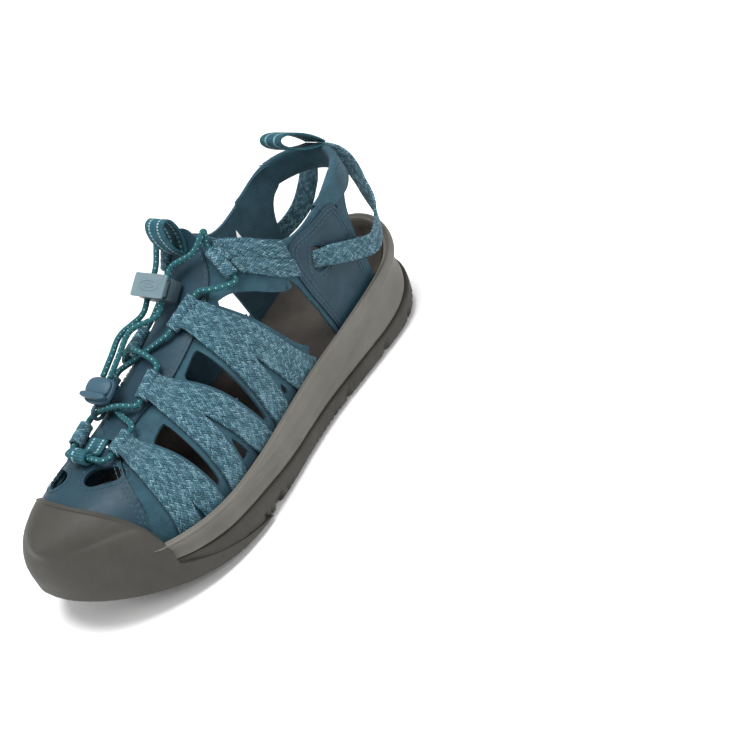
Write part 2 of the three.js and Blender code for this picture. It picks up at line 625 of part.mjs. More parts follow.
// ---------------------------------------------------------------- pull loops of tape
// A drop-shaped loop in the YZ plane: root at the origin, rising along +Z, opening inside.
function tapeLoop(length, belly, width) {
  const outside = new THREE.Shape();
  const wall = TAPE;
  outside.moveTo(-wall, 0);
  outside.lineTo(wall, 0);
  outside.bezierCurveTo(belly * 0.7, length * 0.35, belly * 0.6, length, 0, length);
  outside.bezierCurveTo(-belly * 0.6, length, -belly * 0.7, length * 0.35, -wall, 0);
  const hole = new THREE.Path();
  hole.moveTo(0, wall * 2);
  hole.bezierCurveTo(belly * 0.7 - wall, length * 0.38, belly * 0.6 - wall, length - wall, 0, length - wall);
  hole.bezierCurveTo(-belly * 0.6 + wall, length - wall, -belly * 0.7 + wall, length * 0.38, 0, wall * 2);
  outside.holes.push(hole);
  const loop = welded(new THREE.ExtrudeGeometry(outside, { depth: width, curveSegments: 7, bevelEnabled: false }));
  return loop.translate(0, 0, -width / 2).rotateY(Math.PI / 2).rotateX(Math.PI / 2);
}

function standing(geometry, at, tilt) {
  return geometry.rotateX(tilt).translate(at.x, at.y, at.z);
}

const HEEL_LOOP = { length: 33, belly: 9, width: 15, tilt: THREE.MathUtils.degToRad(54) };
const heelLoopRoot = onHeel(0, COLLAR_HEIGHT, GAP + COLLAR_PAD / 2).setZ(COLLAR_HEIGHT + 2.8);
add('heel_pull_loop', standing(tapeLoop(HEEL_LOOP.length, HEEL_LOOP.belly, HEEL_LOOP.width), heelLoopRoot,
  HEEL_LOOP.tilt), 'tape');

const TONGUE_LOOP = { length: 20, belly: 10, width: TAPE_WIDTH - 1, tilt: THREE.MathUtils.degToRad(8) };
const tongueLoopRoot = onForm(19, -0.6, OVER_LINING + TONGUE + GAP + 3.2);
add('tongue_pull_loop', standing(tapeLoop(TONGUE_LOOP.length, TONGUE_LOOP.belly, TONGUE_LOOP.width),
  tongueLoopRoot, TONGUE_LOOP.tilt), 'tape');

// ---------------------------------------------------------------- lace tape at the toe
const TOE_TAPE = { y: -83, around: -4, lift: OVER_LINING + OVERLAY + 4 * GAP + TAPE + LACE / 2 };
const TOE_TAPE_WIDTH = 11;
function makeToeTape() {
  const centre = onForm(TOE_TAPE.y, TOE_TAPE.around, TOE_TAPE.lift);
  const half = new THREE.Vector3(TOE_TAPE_WIDTH / 2, 0, 0);
  const sleeve = pipe([centre.clone().sub(half), centre.clone().add(half)], TUNNEL_RADIUS + TAPE, 12, 1);
  const over = half.clone().multiplyScalar(1.6);
  const bore = pipe([centre.clone().sub(over), centre.clone().add(over)], TUNNEL_RADIUS, 12, 1);
  const tail = bent(4, 4, (u, v, w) => onForm(lerp(TOE_TAPE.y - 1, VAMP_TOP - 3, u),
    TOE_TAPE.around + lerp(-0.5, 0.5, v) * TOE_TAPE_WIDTH * 0.96,
    OVER_LINING + OVERLAY + 2 * GAP + lerp(0, TAPE, w)));
  return cut(join(sleeve, tail), bore);
}
add('toe_tape', makeToeTape(), 'tape');

// ---------------------------------------------------------------- cord lock
const LOCK_TILT = THREE.MathUtils.degToRad(34);
const lockFoot = onForm(3.5, -2.5, OVER_LINING + TONGUE + GAP + 1.6);
const lockUp = new THREE.Vector3(0, -Math.sin(LOCK_TILT), Math.cos(LOCK_TILT));
const lockAlong = new THREE.Vector3(0, Math.cos(LOCK_TILT), Math.sin(LOCK_TILT));
const CORD_OFFSET = 5.2;
const CORD_BORE = LACE / 2 + GAP;
const LOCK_WALL = 1.4;
const LOCK_FLOOR = 1.4;
const SPRING_PITCH = 1;
const CORD_HEIGHT = LOCK_FLOOR + LOCK_TRAVEL + LACE / 2 + 0.6;

const inLock = (x, y, z) => lockFoot.clone().add(new THREE.Vector3(x, 0, 0))
  .addScaledVector(lockAlong, y).addScaledVector(lockUp, z);
const placeInLock = (geometry) => geometry.rotateX(LOCK_TILT).translate(lockFoot.x, lockFoot.y, lockFoot.z);

function cordSlot(x, rise) {
  const hole = new THREE.Shape();
  hole.absarc(0, 0, CORD_BORE, Math.PI, 2 * Math.PI, false);
  hole.absarc(0, rise, CORD_BORE, 0, Math.PI, false);
  const tool = welded(new THREE.ExtrudeGeometry(hole, { depth: 40, curveSegments: 6, bevelEnabled: false }));
  return tool.rotateX(Math.PI / 2).translate(x, 20, CORD_HEIGHT);
}

function makeLockBody() {
  const [hx, hy] = [LOCK_WIDTH / 2 - 1, LOCK_LENGTH / 2 - 0.5];
  const shell = block([-hx, -hy, 0], [hx, hy, LOCK_HEIGHT]);
  const pocket = block([-hx + LOCK_WALL, -hy + LOCK_WALL, LOCK_FLOOR], [hx - LOCK_WALL, hy - LOCK_WALL, LOCK_HEIGHT + 2]);
  return placeInLock(cut(shell, pocket, cordSlot(-CORD_OFFSET, 0), cordSlot(CORD_OFFSET, 0)));
}

function makeLockPlunger() {
  const [hx, hy] = [LOCK_WIDTH / 2 - 1 - LOCK_WALL - GAP, LOCK_LENGTH / 2 - 0.5 - LOCK_WALL - GAP];
  const under = LOCK_HEIGHT + GAP + LOCK_TRAVEL;
  const plate = block([-LOCK_WIDTH / 2, -LOCK_LENGTH / 2, under], [LOCK_WIDTH / 2, LOCK_LENGTH / 2, under + LOCK_PLATE]);
  const stem = block([-hx, -hy, LOCK_FLOOR + LOCK_TRAVEL + GAP], [hx, hy, under + LOCK_PLATE / 2]);
  const springBore = block([-2.7, -2.7, 0], [2.7, 2.7, LOCK_HEIGHT + 1]);
  return placeInLock(cut(join(plate, stem), springBore, cordSlot(-CORD_OFFSET, LOCK_TRAVEL), cordSlot(CORD_OFFSET, LOCK_TRAVEL)));
}

function makeLockSpring() {
  const turns = 3;
  const points = Array.from({ length: turns * 8 + 1 }, (_, i) => {
    const turn = (i / 8) * 2 * Math.PI;
    return new THREE.Vector3(1.9 * Math.cos(turn), 1.9 * Math.sin(turn), LOCK_FLOOR + GAP + 0.3 + (i / 8) * SPRING_PITCH);
  });
  return placeInLock(pipe(points, 0.3, 4, turns * 8));
}

add('cord_lock_body', makeLockBody(), 'lock');
add('cord_lock_plunger', makeLockPlunger(), 'lock');
add('cord_lock_spring', makeLockSpring(), 'steel', 0.9);

// ---------------------------------------------------------------- end hook
const EYE_RADIUS = LACE / 2 + 1.3;
const EYE_WALL = 1.2;
const EYE = { y: -58.5, around: -9, lift: 9 }; // the lace point that the hook's eye holds
const EYE_IN_HOOK = new THREE.Vector3(0, -2.2, -2.6);
const eyeCentre = onForm(EYE.y, EYE.around, EYE.lift);
const hookAlong = onForm(-40, EYE.around, 14).sub(onForm(EYE.y, EYE.around, 12)).setX(0).normalize();
const hookSide = new THREE.Vector3(1, 0, 0);
const hookUp = hookSide.clone().cross(hookAlong);
const hookTurn = new THREE.Matrix4().makeBasis(hookSide, hookAlong, hookUp);
const hookFrame = hookTurn.clone().setPosition(eyeCentre.clone().sub(EYE_IN_HOOK.clone().applyMatrix4(hookTurn)));
const inHook = (x, y, z) => new THREE.Vector3(x, y, z).applyMatrix4(hookFrame);
function roundedPlate(width, length, corner, low, high) {
  const plate = new THREE.Shape();
  const [x, y] = [width / 2, length];
  plate.moveTo(-x + corner, 0);
  plate.lineTo(x - corner, 0);
  plate.quadraticCurveTo(x, 0, x, corner);
  plate.lineTo(x, y - corner);
  plate.quadraticCurveTo(x, y, x - corner, y);
  plate.lineTo(-x + corner, y);
  plate.quadraticCurveTo(-x, y, -x, y - corner);
  plate.lineTo(-x, corner);
  plate.quadraticCurveTo(-x, 0, -x + corner, 0);
  return welded(new THREE.ExtrudeGeometry(plate, { depth: high - low, curveSegments: 4, bevelEnabled: false }))
    .translate(0, 0, low);
}

function makeHookBase() {
  const plate = roundedPlate(HOOK_WIDTH, HOOK_LENGTH, 4, 0, HOOK_BASE);
  const ring = new THREE.Shape();
  ring.absarc(0, 0, EYE_RADIUS + EYE_WALL, 0, 2 * Math.PI);
  const hole = new THREE.Path();
  hole.absarc(0, 0, EYE_RADIUS, 0, 2 * Math.PI, true);
  ring.holes.push(hole);
  const eye = welded(new THREE.ExtrudeGeometry(ring, { depth: 3, curveSegments: 6, bevelEnabled: false }))
    .rotateY(Math.PI / 2).translate(EYE_IN_HOOK.x - 1.5, EYE_IN_HOOK.y, EYE_IN_HOOK.z);
  return join(plate, eye).applyMatrix4(hookFrame);
}

function makeHookCover() {
  const shell = roundedPlate(HOOK_WIDTH - 3, HOOK_LENGTH - 5, 3, HOOK_BASE + GAP, HOOK_BASE + GAP + HOOK_COVER);
  shell.translate(0, 3.5, 0);
  const bar = roundedPlate(HOOK_WIDTH - 1, 2.4, 1, HOOK_BASE + GAP + HOOK_COVER - 0.6, HOOK_BASE + GAP + HOOK_COVER + 1.4)
    .translate(0, 3.9, 0);
  return join(shell, bar).applyMatrix4(hookFrame);
}

add('end_hook_base', makeHookBase(), 'hook');
add('end_hook_cover', makeHookCover(), 'hook');

// ---------------------------------------------------------------- lace
const placed = ([y, around, lift]) => onForm(y, around, lift);
const tailEnd = (x) => [inHook(x, HOOK_LENGTH + 12, 2), inHook(x, HOOK_LENGTH + 5, 1.7), inHook(x, HOOK_LENGTH + GAP, HOOK_BASE / 2)];
const throughLock = (x) => [11, 5, -5, -13].map((y) => inLock(x, y, CORD_HEIGHT));

const OUTSIDE = 3.2; // the lace runs straight this far past each tunnel's end
function straightThrough(start, end) {
  return [towards(start, end, -OUTSIDE), start, end, towards(end, start, -OUTSIDE)];
}
const strapRun = (side, [start, end]) => straightThrough(
  placed([start[0], side * start[1], TUNNEL_LIFT]), placed([end[0], side * end[1], TUNNEL_LIFT]));
const ankleRun = (side) => straightThrough(...ankleEnds(side));

const laces = {
  lateral: [
    ...[[-83, -3.8, TOE_TAPE.lift], [-83, 3.5, TOE_TAPE.lift], [-82.6, 8, TOE_TAPE.lift]].map(placed),
    ...strapRun(1, STRAPS[0].tunnel), ...[[-57, 3, 6], [-53, -6, 6.2]].map(placed),
    ...strapRun(-1, MEDIAL_STRAPS[1].tunnel), ...[[-30, -9, 6.1], [-21.5, 1, 6]].map(placed),
    ...strapRun(1, STRAPS[2].tunnel), placed([10, 23, 9]), ...ankleRun(1),
    ...[[25, 14.5, 13], [17, 11, 12.5]].map(placed),
    ...throughLock(CORD_OFFSET), placed([-22, -5, 16]), ...tailEnd(2.6),
  ],
  medial: [
    ...[[-83, -4.2, TOE_TAPE.lift], [-83, -11.5, TOE_TAPE.lift], [-82.2, -14, TOE_TAPE.lift]].map(placed),
    ...strapRun(-1, MEDIAL_STRAPS[0].tunnel), placed([EYE.y, EYE.around, EYE.lift]), placed([-55, 1, 9.9]),
    ...strapRun(1, STRAPS[1].tunnel), ...[[-28.5, 3, 9.6], [-26.5, -8, 10.2]].map(placed),
    ...strapRun(-1, MEDIAL_STRAPS[2].tunnel), placed([7, -22, 9]), ...ankleRun(-1),
    ...[[27, -12, 15.5], [20.5, -9.5, 15]].map(placed),
    ...throughLock(-CORD_OFFSET), placed([-22, -12, 16]), ...tailEnd(-2.6),
  ],
};
for (const [name, points] of Object.entries(laces)) add(`lace_${name}`, pipe(points, LACE / 2, 8, 72), 'lace');

add('size_label', bent(3, 3, (u, v, w) => onForm(lerp(30, 38, u), lerp(38, 50, v), lerp(-1.6, -1, w))), 'label');

export default sandal;
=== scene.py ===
# %% [markdown]
# # A strappy sport sandal
# The sandal is a rubber and foam sole unit with a textile upper. Everything in the upper follows one
# shape, the last, which is the foot form that a shoemaker pulls the upper over. So the lesson first
# writes that form as a few functions, and every strap, panel and lace is then laid on it.

# %% Load the frame
import math

import bmesh
import bpy
import numpy as np
from mathutils import Matrix, Vector, noise


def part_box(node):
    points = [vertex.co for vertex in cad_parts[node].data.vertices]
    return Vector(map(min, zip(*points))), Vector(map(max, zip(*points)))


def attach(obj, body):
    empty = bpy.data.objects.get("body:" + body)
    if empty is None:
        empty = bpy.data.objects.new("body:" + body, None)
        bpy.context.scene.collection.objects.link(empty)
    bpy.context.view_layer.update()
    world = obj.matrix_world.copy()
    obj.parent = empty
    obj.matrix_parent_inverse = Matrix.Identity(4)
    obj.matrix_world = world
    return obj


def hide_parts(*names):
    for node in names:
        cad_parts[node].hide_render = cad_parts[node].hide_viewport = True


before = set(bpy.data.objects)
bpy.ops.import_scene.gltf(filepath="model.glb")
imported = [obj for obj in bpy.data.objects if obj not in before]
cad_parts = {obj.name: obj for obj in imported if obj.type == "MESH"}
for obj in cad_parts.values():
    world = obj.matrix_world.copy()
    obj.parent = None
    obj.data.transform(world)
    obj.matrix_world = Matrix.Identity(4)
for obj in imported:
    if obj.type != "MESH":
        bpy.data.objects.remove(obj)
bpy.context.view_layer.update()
MM = 0.001
outsole_low, outsole_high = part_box("outsole")
print("outsole", outsole_low, outsole_high)

# %% [markdown]
# ## The driving sizes
# The sole's length comes from the frame. The layer heights say how far each fabric layer stands off the
# last, in millimetres: lining first, then smooth overlays and woven webbing.

# %% Driving sizes
SOLE_LENGTH = round((outsole_high[1] - outsole_low[1]) / MM)
HALF_LENGTH = SOLE_LENGTH / 2
HALF_WIDTH = 50
TOE_SPRING = 22
HEEL_SPRING = 5
OUTSOLE_BASE = 6
OUTSOLE_WRAP = 13
FOOT_DROP = 14
LAST_INSET = 8.5
FORM_BASE = 11.5
FORM_EXPONENT = 2.5
RIDGE_SHIFT = -8
HEEL_LEAN = 7
LINING_LOW = 0.3
LINING = 1.7
OVER_LINING = 2.8
OVERLAY = 1.3
WEBBING = 1.5
TONGUE = 1.0
LACE = 3.0
TUNNEL_LIFT = 7.58


def clamp(x, low=0.0, high=1.0):
    return min(max(x, low), high)


def mix(a, b, t):
    return a + (b - a) * t


def smooth(x, low, high):
    t = clamp((x - low) / (high - low))
    return t * t * (3 - 2 * t)


# %% [markdown]
# ## The sole's outline and the last
# A station f runs from the heel (0) to the toe (1). Half widths, wall height and the form's height are
# smooth curves through a few evenly spaced values, so a handful of numbers gives the whole shape.

# %% Profiles
def profile(values):
    last = len(values) - 1

    def read(f):
        u = clamp(f) * last
        i = min(int(u), last - 1)
        t = u - i
        a, b, c, d = (values[min(max(k, 0), last)] for k in (i - 1, i, i + 1, i + 2))
        return b + 0.5 * t * (c - a + t * (2 * a - 5 * b + 4 * c - d + t * (3 * (b - c) + d - a)))

    return read


lateral_share = profile([0.66, 0.7, 0.73, 0.74, 0.76, 0.83, 0.93, 1, 0.99, 0.92, 0.84])
medial_share = profile([0.66, 0.69, 0.7, 0.67, 0.66, 0.7, 0.82, 0.94, 1, 0.98, 0.92])
wall_height = profile([44, 41, 37.5, 34.5, 32.5, 31, 30.5, 30.5, 29, 25.5, 22])
form_profile = profile([158, 158, 158, 158, 158, 155, 143, 118, 92, 78, 69, 62, 56, 51, 46, 42, 38.5,
                        36.5, 34.5, 32.5, 30.5])
HEEL_ROUND, TOE_ROUND, TOE_DOME = 0.15, 0.26, 0.2


def station(y):
    return (HALF_LENGTH - y) / SOLE_LENGTH


def centre_line(f):
    return -8 * clamp((f - 0.6) / 0.4) ** 2


def wrap(f):
    """Height of the rubber's edge above the tread: it climbs at the heel and towards the toe."""
    return OUTSOLE_WRAP - 2.5 + 5.5 * smooth(0.2 - f, 0, 0.2) + 6 * smooth(f, 0.5, 0.72)


def bottom(f):
    return TOE_SPRING * clamp((f - 0.68) / 0.32) ** 2 + HEEL_SPRING * clamp((0.08 - f) / 0.08) ** 2


def rim(f):
    return bottom(f) + wall_height(f)


def floor_at(f):
    return rim(f) - FOOT_DROP


def form_height(f):
    return form_profile(f) * (1 - clamp((f - 1 + TOE_DOME) / TOE_DOME) ** 2.6) ** (1 / 2.6)


def round_ends(g):
    if g < HEEL_ROUND:
        return (1 - clamp((HEEL_ROUND - g) / HEEL_ROUND) ** 2.2) ** (1 / 2.2)
    if g > 1 - TOE_ROUND:
        return (1 - clamp((g - 1 + TOE_ROUND) / TOE_ROUND) ** 2.3) ** (1 / 2.3)
    return 1.0


def outline(f, inset, side):
    share = inset / SOLE_LENGTH
    g = clamp((f - share) / (1 - 2 * share))
    half = (lateral_share(f) if side > 0 else medial_share(f)) * HALF_WIDTH - inset
    return centre_line(f) + side * half * round_ends(g)


def ridge_at(f):
    return centre_line(f) + RIDGE_SHIFT * smooth(0.95 - f, 0, 0.3)


def leaned(x, f, z):
    lean = HEEL_LEAN * clamp((z - 50) / 55, 0, 1.2) ** 1.5 * clamp(1 - f / 0.4)
    return Vector((x, HALF_LENGTH - f * SOLE_LENGTH - lean, z))


def form_point(f, turn, lift):
    side = 1 if math.cos(turn) >= 0 else -1
    ridge = ridge_at(f)
    reach = outline(f, LAST_INSET - lift, side) - ridge
    x = ridge + reach * abs(math.cos(turn)) ** (2 / FORM_EXPONENT)
    rise = (form_height(f) + lift) * abs(math.sin(turn)) ** (2 / FORM_EXPONENT)
    return leaned(x, f, rim(f) - FORM_BASE + rise)


# %% [markdown]
# ## Measuring over the last
# A pattern cutter works flat: so many millimetres back from the toe, so many round from the ridge of the
# foot. A table of the girth at each station turns those two flat measures into a place on the last.

# %% Girth tables
TABLE_ROWS = 400
TURN_STEPS = 48


def girth_row(f, side):
    turns = [math.pi / 2 * (1 - side * i / TURN_STEPS) for i in range(TURN_STEPS + 1)]
    points = [form_point(f, turn, 0) for turn in turns]
    lengths = [0.0]
    for a, b in zip(points, points[1:]):
        lengths.append(lengths[-1] + (b - a).length)
    return np.array(lengths)


GIRTHS = {side: [girth_row(min(k / TABLE_ROWS, 0.9995), side) for k in range(TABLE_ROWS + 1)]
          for side in (1, -1)}
TURN_INDEX = np.arange(TURN_STEPS + 1)


def edge_girth(y, side):
    k = clamp(station(y)) * TABLE_ROWS
    i = min(int(k), TABLE_ROWS - 1)
    return mix(GIRTHS[side][i][-1], GIRTHS[side][i + 1][-1], k - i)


def on_form(y, around, lift):
    f = clamp(station(y))
    side = 1 if around >= 0 else -1
    k = f * TABLE_ROWS
    i = min(int(k), TABLE_ROWS - 1)
    near, far = (np.interp(abs(around), GIRTHS[side][j], TURN_INDEX) for j in (i, i + 1))
    return form_point(f, math.pi / 2 * (1 - side * mix(near, far, k - i) / TURN_STEPS), lift)


def on_side(y, z, side, lift):
    f = station(y)
    ridge = ridge_at(f)
    up = clamp((z - rim(f) + FORM_BASE) / (form_height(f) + lift))
    share = (1 - up ** FORM_EXPONENT) ** (1 / FORM_EXPONENT)
    return leaned(ridge + (outline(f, LAST_INSET - lift, side) - ridge) * share, f, z)


def on_heel(around, z, lift):
    side = 1 if around >= 0 else -1
    back = (LAST_INSET - lift) / SOLE_LENGTH
    left = abs(around)
    before = None
    for i in range(61):
        f = back + 0.3 * (1 - math.cos(i / 60 * math.pi / 2))
        here = on_side(HALF_LENGTH - f * SOLE_LENGTH, z, side, lift)
        if before is not None:
            step = (here - before).length
            if left <= step:
                return before.lerp(here, left / step)
            left -= step
        before = here
    return before


print("ridge above the ball of the foot", round(on_form(-60, 0, 0).z, 1), "mm")

# %% [markdown]
# ## One way to make a surface
# Nearly every piece here is a flat grid that is bent into place. `bmesh.ops.create_grid` gives the flat
# cloth, its UVs keep the flat measures in metres so that a weave can follow it, and a Solidify modifier
# gives it thickness. Where a grid's ends meet, merging the doubles closes it.

# %% Bending grids
def link(bm, name, shade=True):
    bmesh.ops.recalc_face_normals(bm, faces=bm.faces[:])
    mesh = bpy.data.meshes.new(name)
    bm.to_mesh(mesh)
    bm.free()
    piece = bpy.data.objects.new(name, mesh)
    bpy.context.collection.objects.link(piece)
    mesh.shade_smooth() if shade else mesh.shade_flat()
    return piece


def bend_grid(across, along, place, flat=None):
    """A grid whose u runs across (0..1) and v along (0..1); flat(u, v) gives the flat measures in mm."""
    bm = bmesh.new()
    bmesh.ops.create_grid(bm, x_segments=across, y_segments=along, size=0.5)
    layer = bm.loops.layers.uv.new("UVMap")
    for face in bm.faces:
        for corner in face.loops:
            u, v = corner.vert.co.x + 0.5, corner.vert.co.y + 0.5
            s, t = flat(u, v) if flat else (u, v)
            corner[layer].uv = (s * MM, t * MM) if flat else (s, t)
    for vert in bm.verts:
        vert.co = place(clamp(vert.co.x + 0.5), clamp(vert.co.y + 0.5)) * MM
    bmesh.ops.remove_doubles(bm, verts=bm.verts[:], dist=0.02 * MM)
    bmesh.ops.dissolve_degenerate(bm, dist=0.005 * MM, edges=bm.edges[:])
    return bm


def modifier(piece, kind, **settings):
    added = piece.modifiers.new(kind.title(), kind)
    for key, value in settings.items():
        setattr(added, key, value)
    return added


def finish_cloth(piece, thickness, outwards=True, round_edge=True, levels=1):
    modifier(piece, "SOLIDIFY", thickness=thickness * MM, offset=1 if outwards else -1,
             use_even_offset=False, use_rim=True)
    if round_edge:
        modifier(piece, "BEVEL", width=min(0.35, thickness * 0.3) * MM, segments=2, limit_method="ANGLE",
                 angle_limit=math.radians(50), profile=0.5, material=-1)
    if levels:
        modifier(piece, "SUBSURF", levels=levels, render_levels=levels)
    return piece


def outward(piece, inside_point=(0.0, 0.0, 0.05)):
    """Turns an open cloth's faces away from the inside of the foot."""
    mesh = piece.data
    inside = Vector(inside_point)
    total = 0.0
    for face in mesh.polygons:
        middle = face.center
        core = Vector((inside.x, middle.y, inside.z))
        total += face.area * face.normal.dot(middle - core)
    if total < 0:
        mesh.flip_normals()
    return piece


ROOT = "sandal"


def settle(piece, material, body=ROOT, replaces=()):
    piece.data.materials.clear()
    piece.data.materials.append(material)
    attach(piece, body)
    if replaces:
        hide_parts(*replaces)
    return piece


# %% [markdown]
# ## Materials
# One helper adds a node with its settings and links, and one turns sRGB hex colours to linear values.

# %% Material helpers
def linear(hex_colour, alpha=1.0):
    channels = [int(hex_colour[i:i + 2], 16) / 255 for i in (1, 3, 5)]
    return [c / 12.92 if c <= 0.04045 else ((c + 0.055) / 1.055) ** 2.4 for c in channels] + [alpha]


def node(tree, kind, inputs=None, **settings):
    made = tree.nodes.new(kind)
    for key, value in settings.items():
        setattr(made, key, value)
    for key, value in (inputs or {}).items():
        if isinstance(value, bpy.types.NodeSocket):
            tree.links.new(value, made.inputs[key])
        else:
            made.inputs[key].default_value = value
    return made


def new_material(name, roughness, **sockets):
    material = bpy.data.materials.new(name)
    material.use_nodes = True
    tree = material.node_tree
    shader = tree.nodes["Principled BSDF"]
    shader.inputs["Roughness"].default_value = roughness
    if roughness > 0.44:
        shader.inputs["Specular IOR Level"].default_value = 0.22
    for key, value in sockets.items():
        shader.inputs[key.replace("_", " ")].default_value = value
    return material, tree, shader


def math_node(tree, operation, a, b=0.0, c=0.0):
    return node(tree, "ShaderNodeMath", {0: a, 1: b, 2: c}, operation=operation).outputs[0]


def ramp(tree, value, stops):
    made = node(tree, "ShaderNodeValToRGB", {0: value})
    elements = made.color_ramp.elements
    while len(elements) < len(stops):
        elements.new(0.5)
    for element, (place, colour) in zip(elements, stops):
        element.position = place
        element.color = linear(colour)
    return made.outputs[0]


def bump(tree, shader, height, distance, strength=1.0, after=None):
    inputs = {"Height": height, "Distance": distance * MM, "Strength": strength}
    if after is not None:
        inputs["Normal"] = after
    made = node(tree, "ShaderNodeBump", inputs)
    tree.links.new(made.outputs[0], shader.inputs["Normal"])
    return made.outputs[0]


def object_noise(tree, size, detail=3.0, roughness=0.5, stretch=(1, 1, 1)):
    """Noise whose grain is about size millimetres across."""
    coords = node(tree, "ShaderNodeTexCoord")
    scaled = node(tree, "ShaderNodeMapping", {"Vector": coords.outputs["Object"], "Scale": stretch})
    made = node(tree, "ShaderNodeTexNoise", {"Vector": scaled.outputs[0], "Scale": 1 / (size * MM),
                                             "Detail": detail, "Roughness": roughness})
    return made.outputs["Fac"]


# %% [markdown]
# ### Webbing
# The straps are woven polyester webbing in a herringbone: light and dark heathered yarns lean one way
# in one column and the other way in the next. The pattern follows the strap's own flat measures.

# %% Webbing material
def make_webbing(name, light, middle, dark, column=2.7, pick=1.35):
    material, tree, shader = new_material(name, 0.82)
    uv = node(tree, "ShaderNodeUVMap", uv_map="UVMap")
    split = node(tree, "ShaderNodeSeparateXYZ", {0: uv.outputs[0]})
    across, along = split.outputs[0], split.outputs[1]
    fold = math_node(tree, "PINGPONG", across, column / 2 * MM)
    lean = math_node(tree, "MULTIPLY_ADD", fold, 1.3, along)
    phase = math_node(tree, "MULTIPLY", lean, 2 * math.pi / (pick * MM))
    yarn = math_node(tree, "MULTIPLY_ADD", math_node(tree, "SINE", phase), 0.5, 0.5)
    edge = math_node(tree, "SINE", math_node(tree, "MULTIPLY", across, 2 * math.pi / (column / 2 * MM)))
    # Heather: each yarn changes from light to dark every few millimetres.
    row = math_node(tree, "FLOOR", math_node(tree, "DIVIDE", lean, pick * MM))
    lane = math_node(tree, "FLOOR", math_node(tree, "DIVIDE", across, column / 2 * MM))
    cell = node(tree, "ShaderNodeCombineXYZ", {0: math_node(tree, "MULTIPLY", row, 0.37),
                                               1: math_node(tree, "MULTIPLY", lane, 1.93), 2: 0.0})
    random_yarn = node(tree, "ShaderNodeTexWhiteNoise", {"Vector": cell.outputs[0]}).outputs["Value"]
    cloud = object_noise(tree, 2.2, 3, 0.6)
    tone = math_node(tree, "MULTIPLY_ADD", random_yarn, 0.42,
                     math_node(tree, "MULTIPLY_ADD", yarn, 0.34, math_node(tree, "MULTIPLY", cloud, 0.36)))
    colour = ramp(tree, tone, [(0.26, dark), (0.5, middle), (0.66, middle), (0.92, light)])
    tree.links.new(colour, shader.inputs["Base Color"])
    height = math_node(tree, "MULTIPLY_ADD", edge, 0.15, yarn)
    first = bump(tree, shader, height, 0.35, 0.8)
    bump(tree, shader, object_noise(tree, 0.35, 2), 0.1, 0.5, first)
    shader.inputs["Sheen Weight"].default_value = 0.06
    shader.inputs["Sheen Roughness"].default_value = 0.5
    return material


woven_webbing = make_webbing("woven polyester webbing", "#7d9ca8", "#365c6a", "#0f2833")

# %% [markdown]
# ### Smooth overlays and neoprene lining
# The overlays are a coated synthetic: almost smooth, with a fine pebble and a faint cloudiness. The
# lining is neoprene foam faced with a fine knit, so it is softer, lighter and has a small knitted rib.

# %% Overlay and lining materials
def make_overlay(name, base, deep, pebble=0.5):
    material, tree, shader = new_material(name, 0.5)
    cloud = object_noise(tree, 16, 4, 0.55)
    colour = ramp(tree, cloud, [(0.3, deep), (0.7, base)])
    tree.links.new(colour, shader.inputs["Base Color"])
    rough = node(tree, "ShaderNodeMapRange", {0: object_noise(tree, 6, 3), 1: 0.3, 2: 0.7, 3: 0.44, 4: 0.6})
    tree.links.new(rough.outputs[0], shader.inputs["Roughness"])
    bump(tree, shader, object_noise(tree, pebble, 2, 0.6), 0.12, 0.55)
    return material


def make_knit(name, base, deep, rib=1.1):
    material, tree, shader = new_material(name, 0.88)
    uv = node(tree, "ShaderNodeUVMap", uv_map="UVMap")
    split = node(tree, "ShaderNodeSeparateXYZ", {0: uv.outputs[0]})
    wale = math_node(tree, "SINE", math_node(tree, "MULTIPLY", split.outputs[0], 2 * math.pi / (rib * MM)))
    course = math_node(tree, "SINE", math_node(tree, "MULTIPLY", split.outputs[1], 2 * math.pi / (rib * MM)))
    loops = math_node(tree, "MULTIPLY", wale, course)
    tone = math_node(tree, "MULTIPLY_ADD", loops, 0.08, object_noise(tree, 9, 4, 0.6))
    colour = ramp(tree, tone, [(0.32, deep), (0.68, base)])
    tree.links.new(colour, shader.inputs["Base Color"])
    first = bump(tree, shader, loops, 0.16, 0.5)
    bump(tree, shader, object_noise(tree, 0.5, 2), 0.08, 0.5, first)
    shader.inputs["Sheen Weight"].default_value = 0.06
    shader.inputs["Sheen Roughness"].default_value = 0.5
    return material


coated_synthetic = make_overlay("coated synthetic overlay", "#1f3a47", "#182f3a")
neoprene = make_knit("knit faced neoprene", "#2f4f5c", "#233f4b")
dark_knit = make_knit("dark mesh lining", "#223a45", "#16272f", 1.4)

# %% [markdown]
# ### Rubber, foam and footbed
# The outsole and toe bumper are moulded carbon rubber, matt with a fine spark-eroded grain. The midsole
# is moulded foam with a skin, a lighter and warmer grey. The footbed is faced with a brushed textile.

# %% Rubber, foam and footbed materials
def make_moulded(name, base, deep, roughness, grain, depth):
    material, tree, shader = new_material(name, roughness)
    tone = object_noise(tree, 22, 5, 0.6)
    colour = ramp(tree, tone, [(0.3, deep), (0.7, base)])
    tree.links.new(colour, shader.inputs["Base Color"])
    bump(tree, shader, object_noise(tree, grain, 3, 0.65), depth, 0.6)
    return material


moulded_rubber = make_moulded("moulded carbon rubber", "#403f3b", "#363531", 0.58, 0.7, 0.12)
tread_rubber = make_moulded("tread rubber", "#3f3d39", "#302f2b", 0.64, 0.9, 0.15)
foam_skin = make_moulded("moulded foam midsole", "#66645e", "#5a5852", 0.58, 1.2, 0.1)
footbed_cloth = make_moulded("brushed footbed textile", "#3d3a36", "#2d2a27", 0.9, 0.5, 0.15)
board_fibre = make_moulded("pressed fibre board", "#8c8272", "#766c5d", 0.9, 1.0, 0.1)

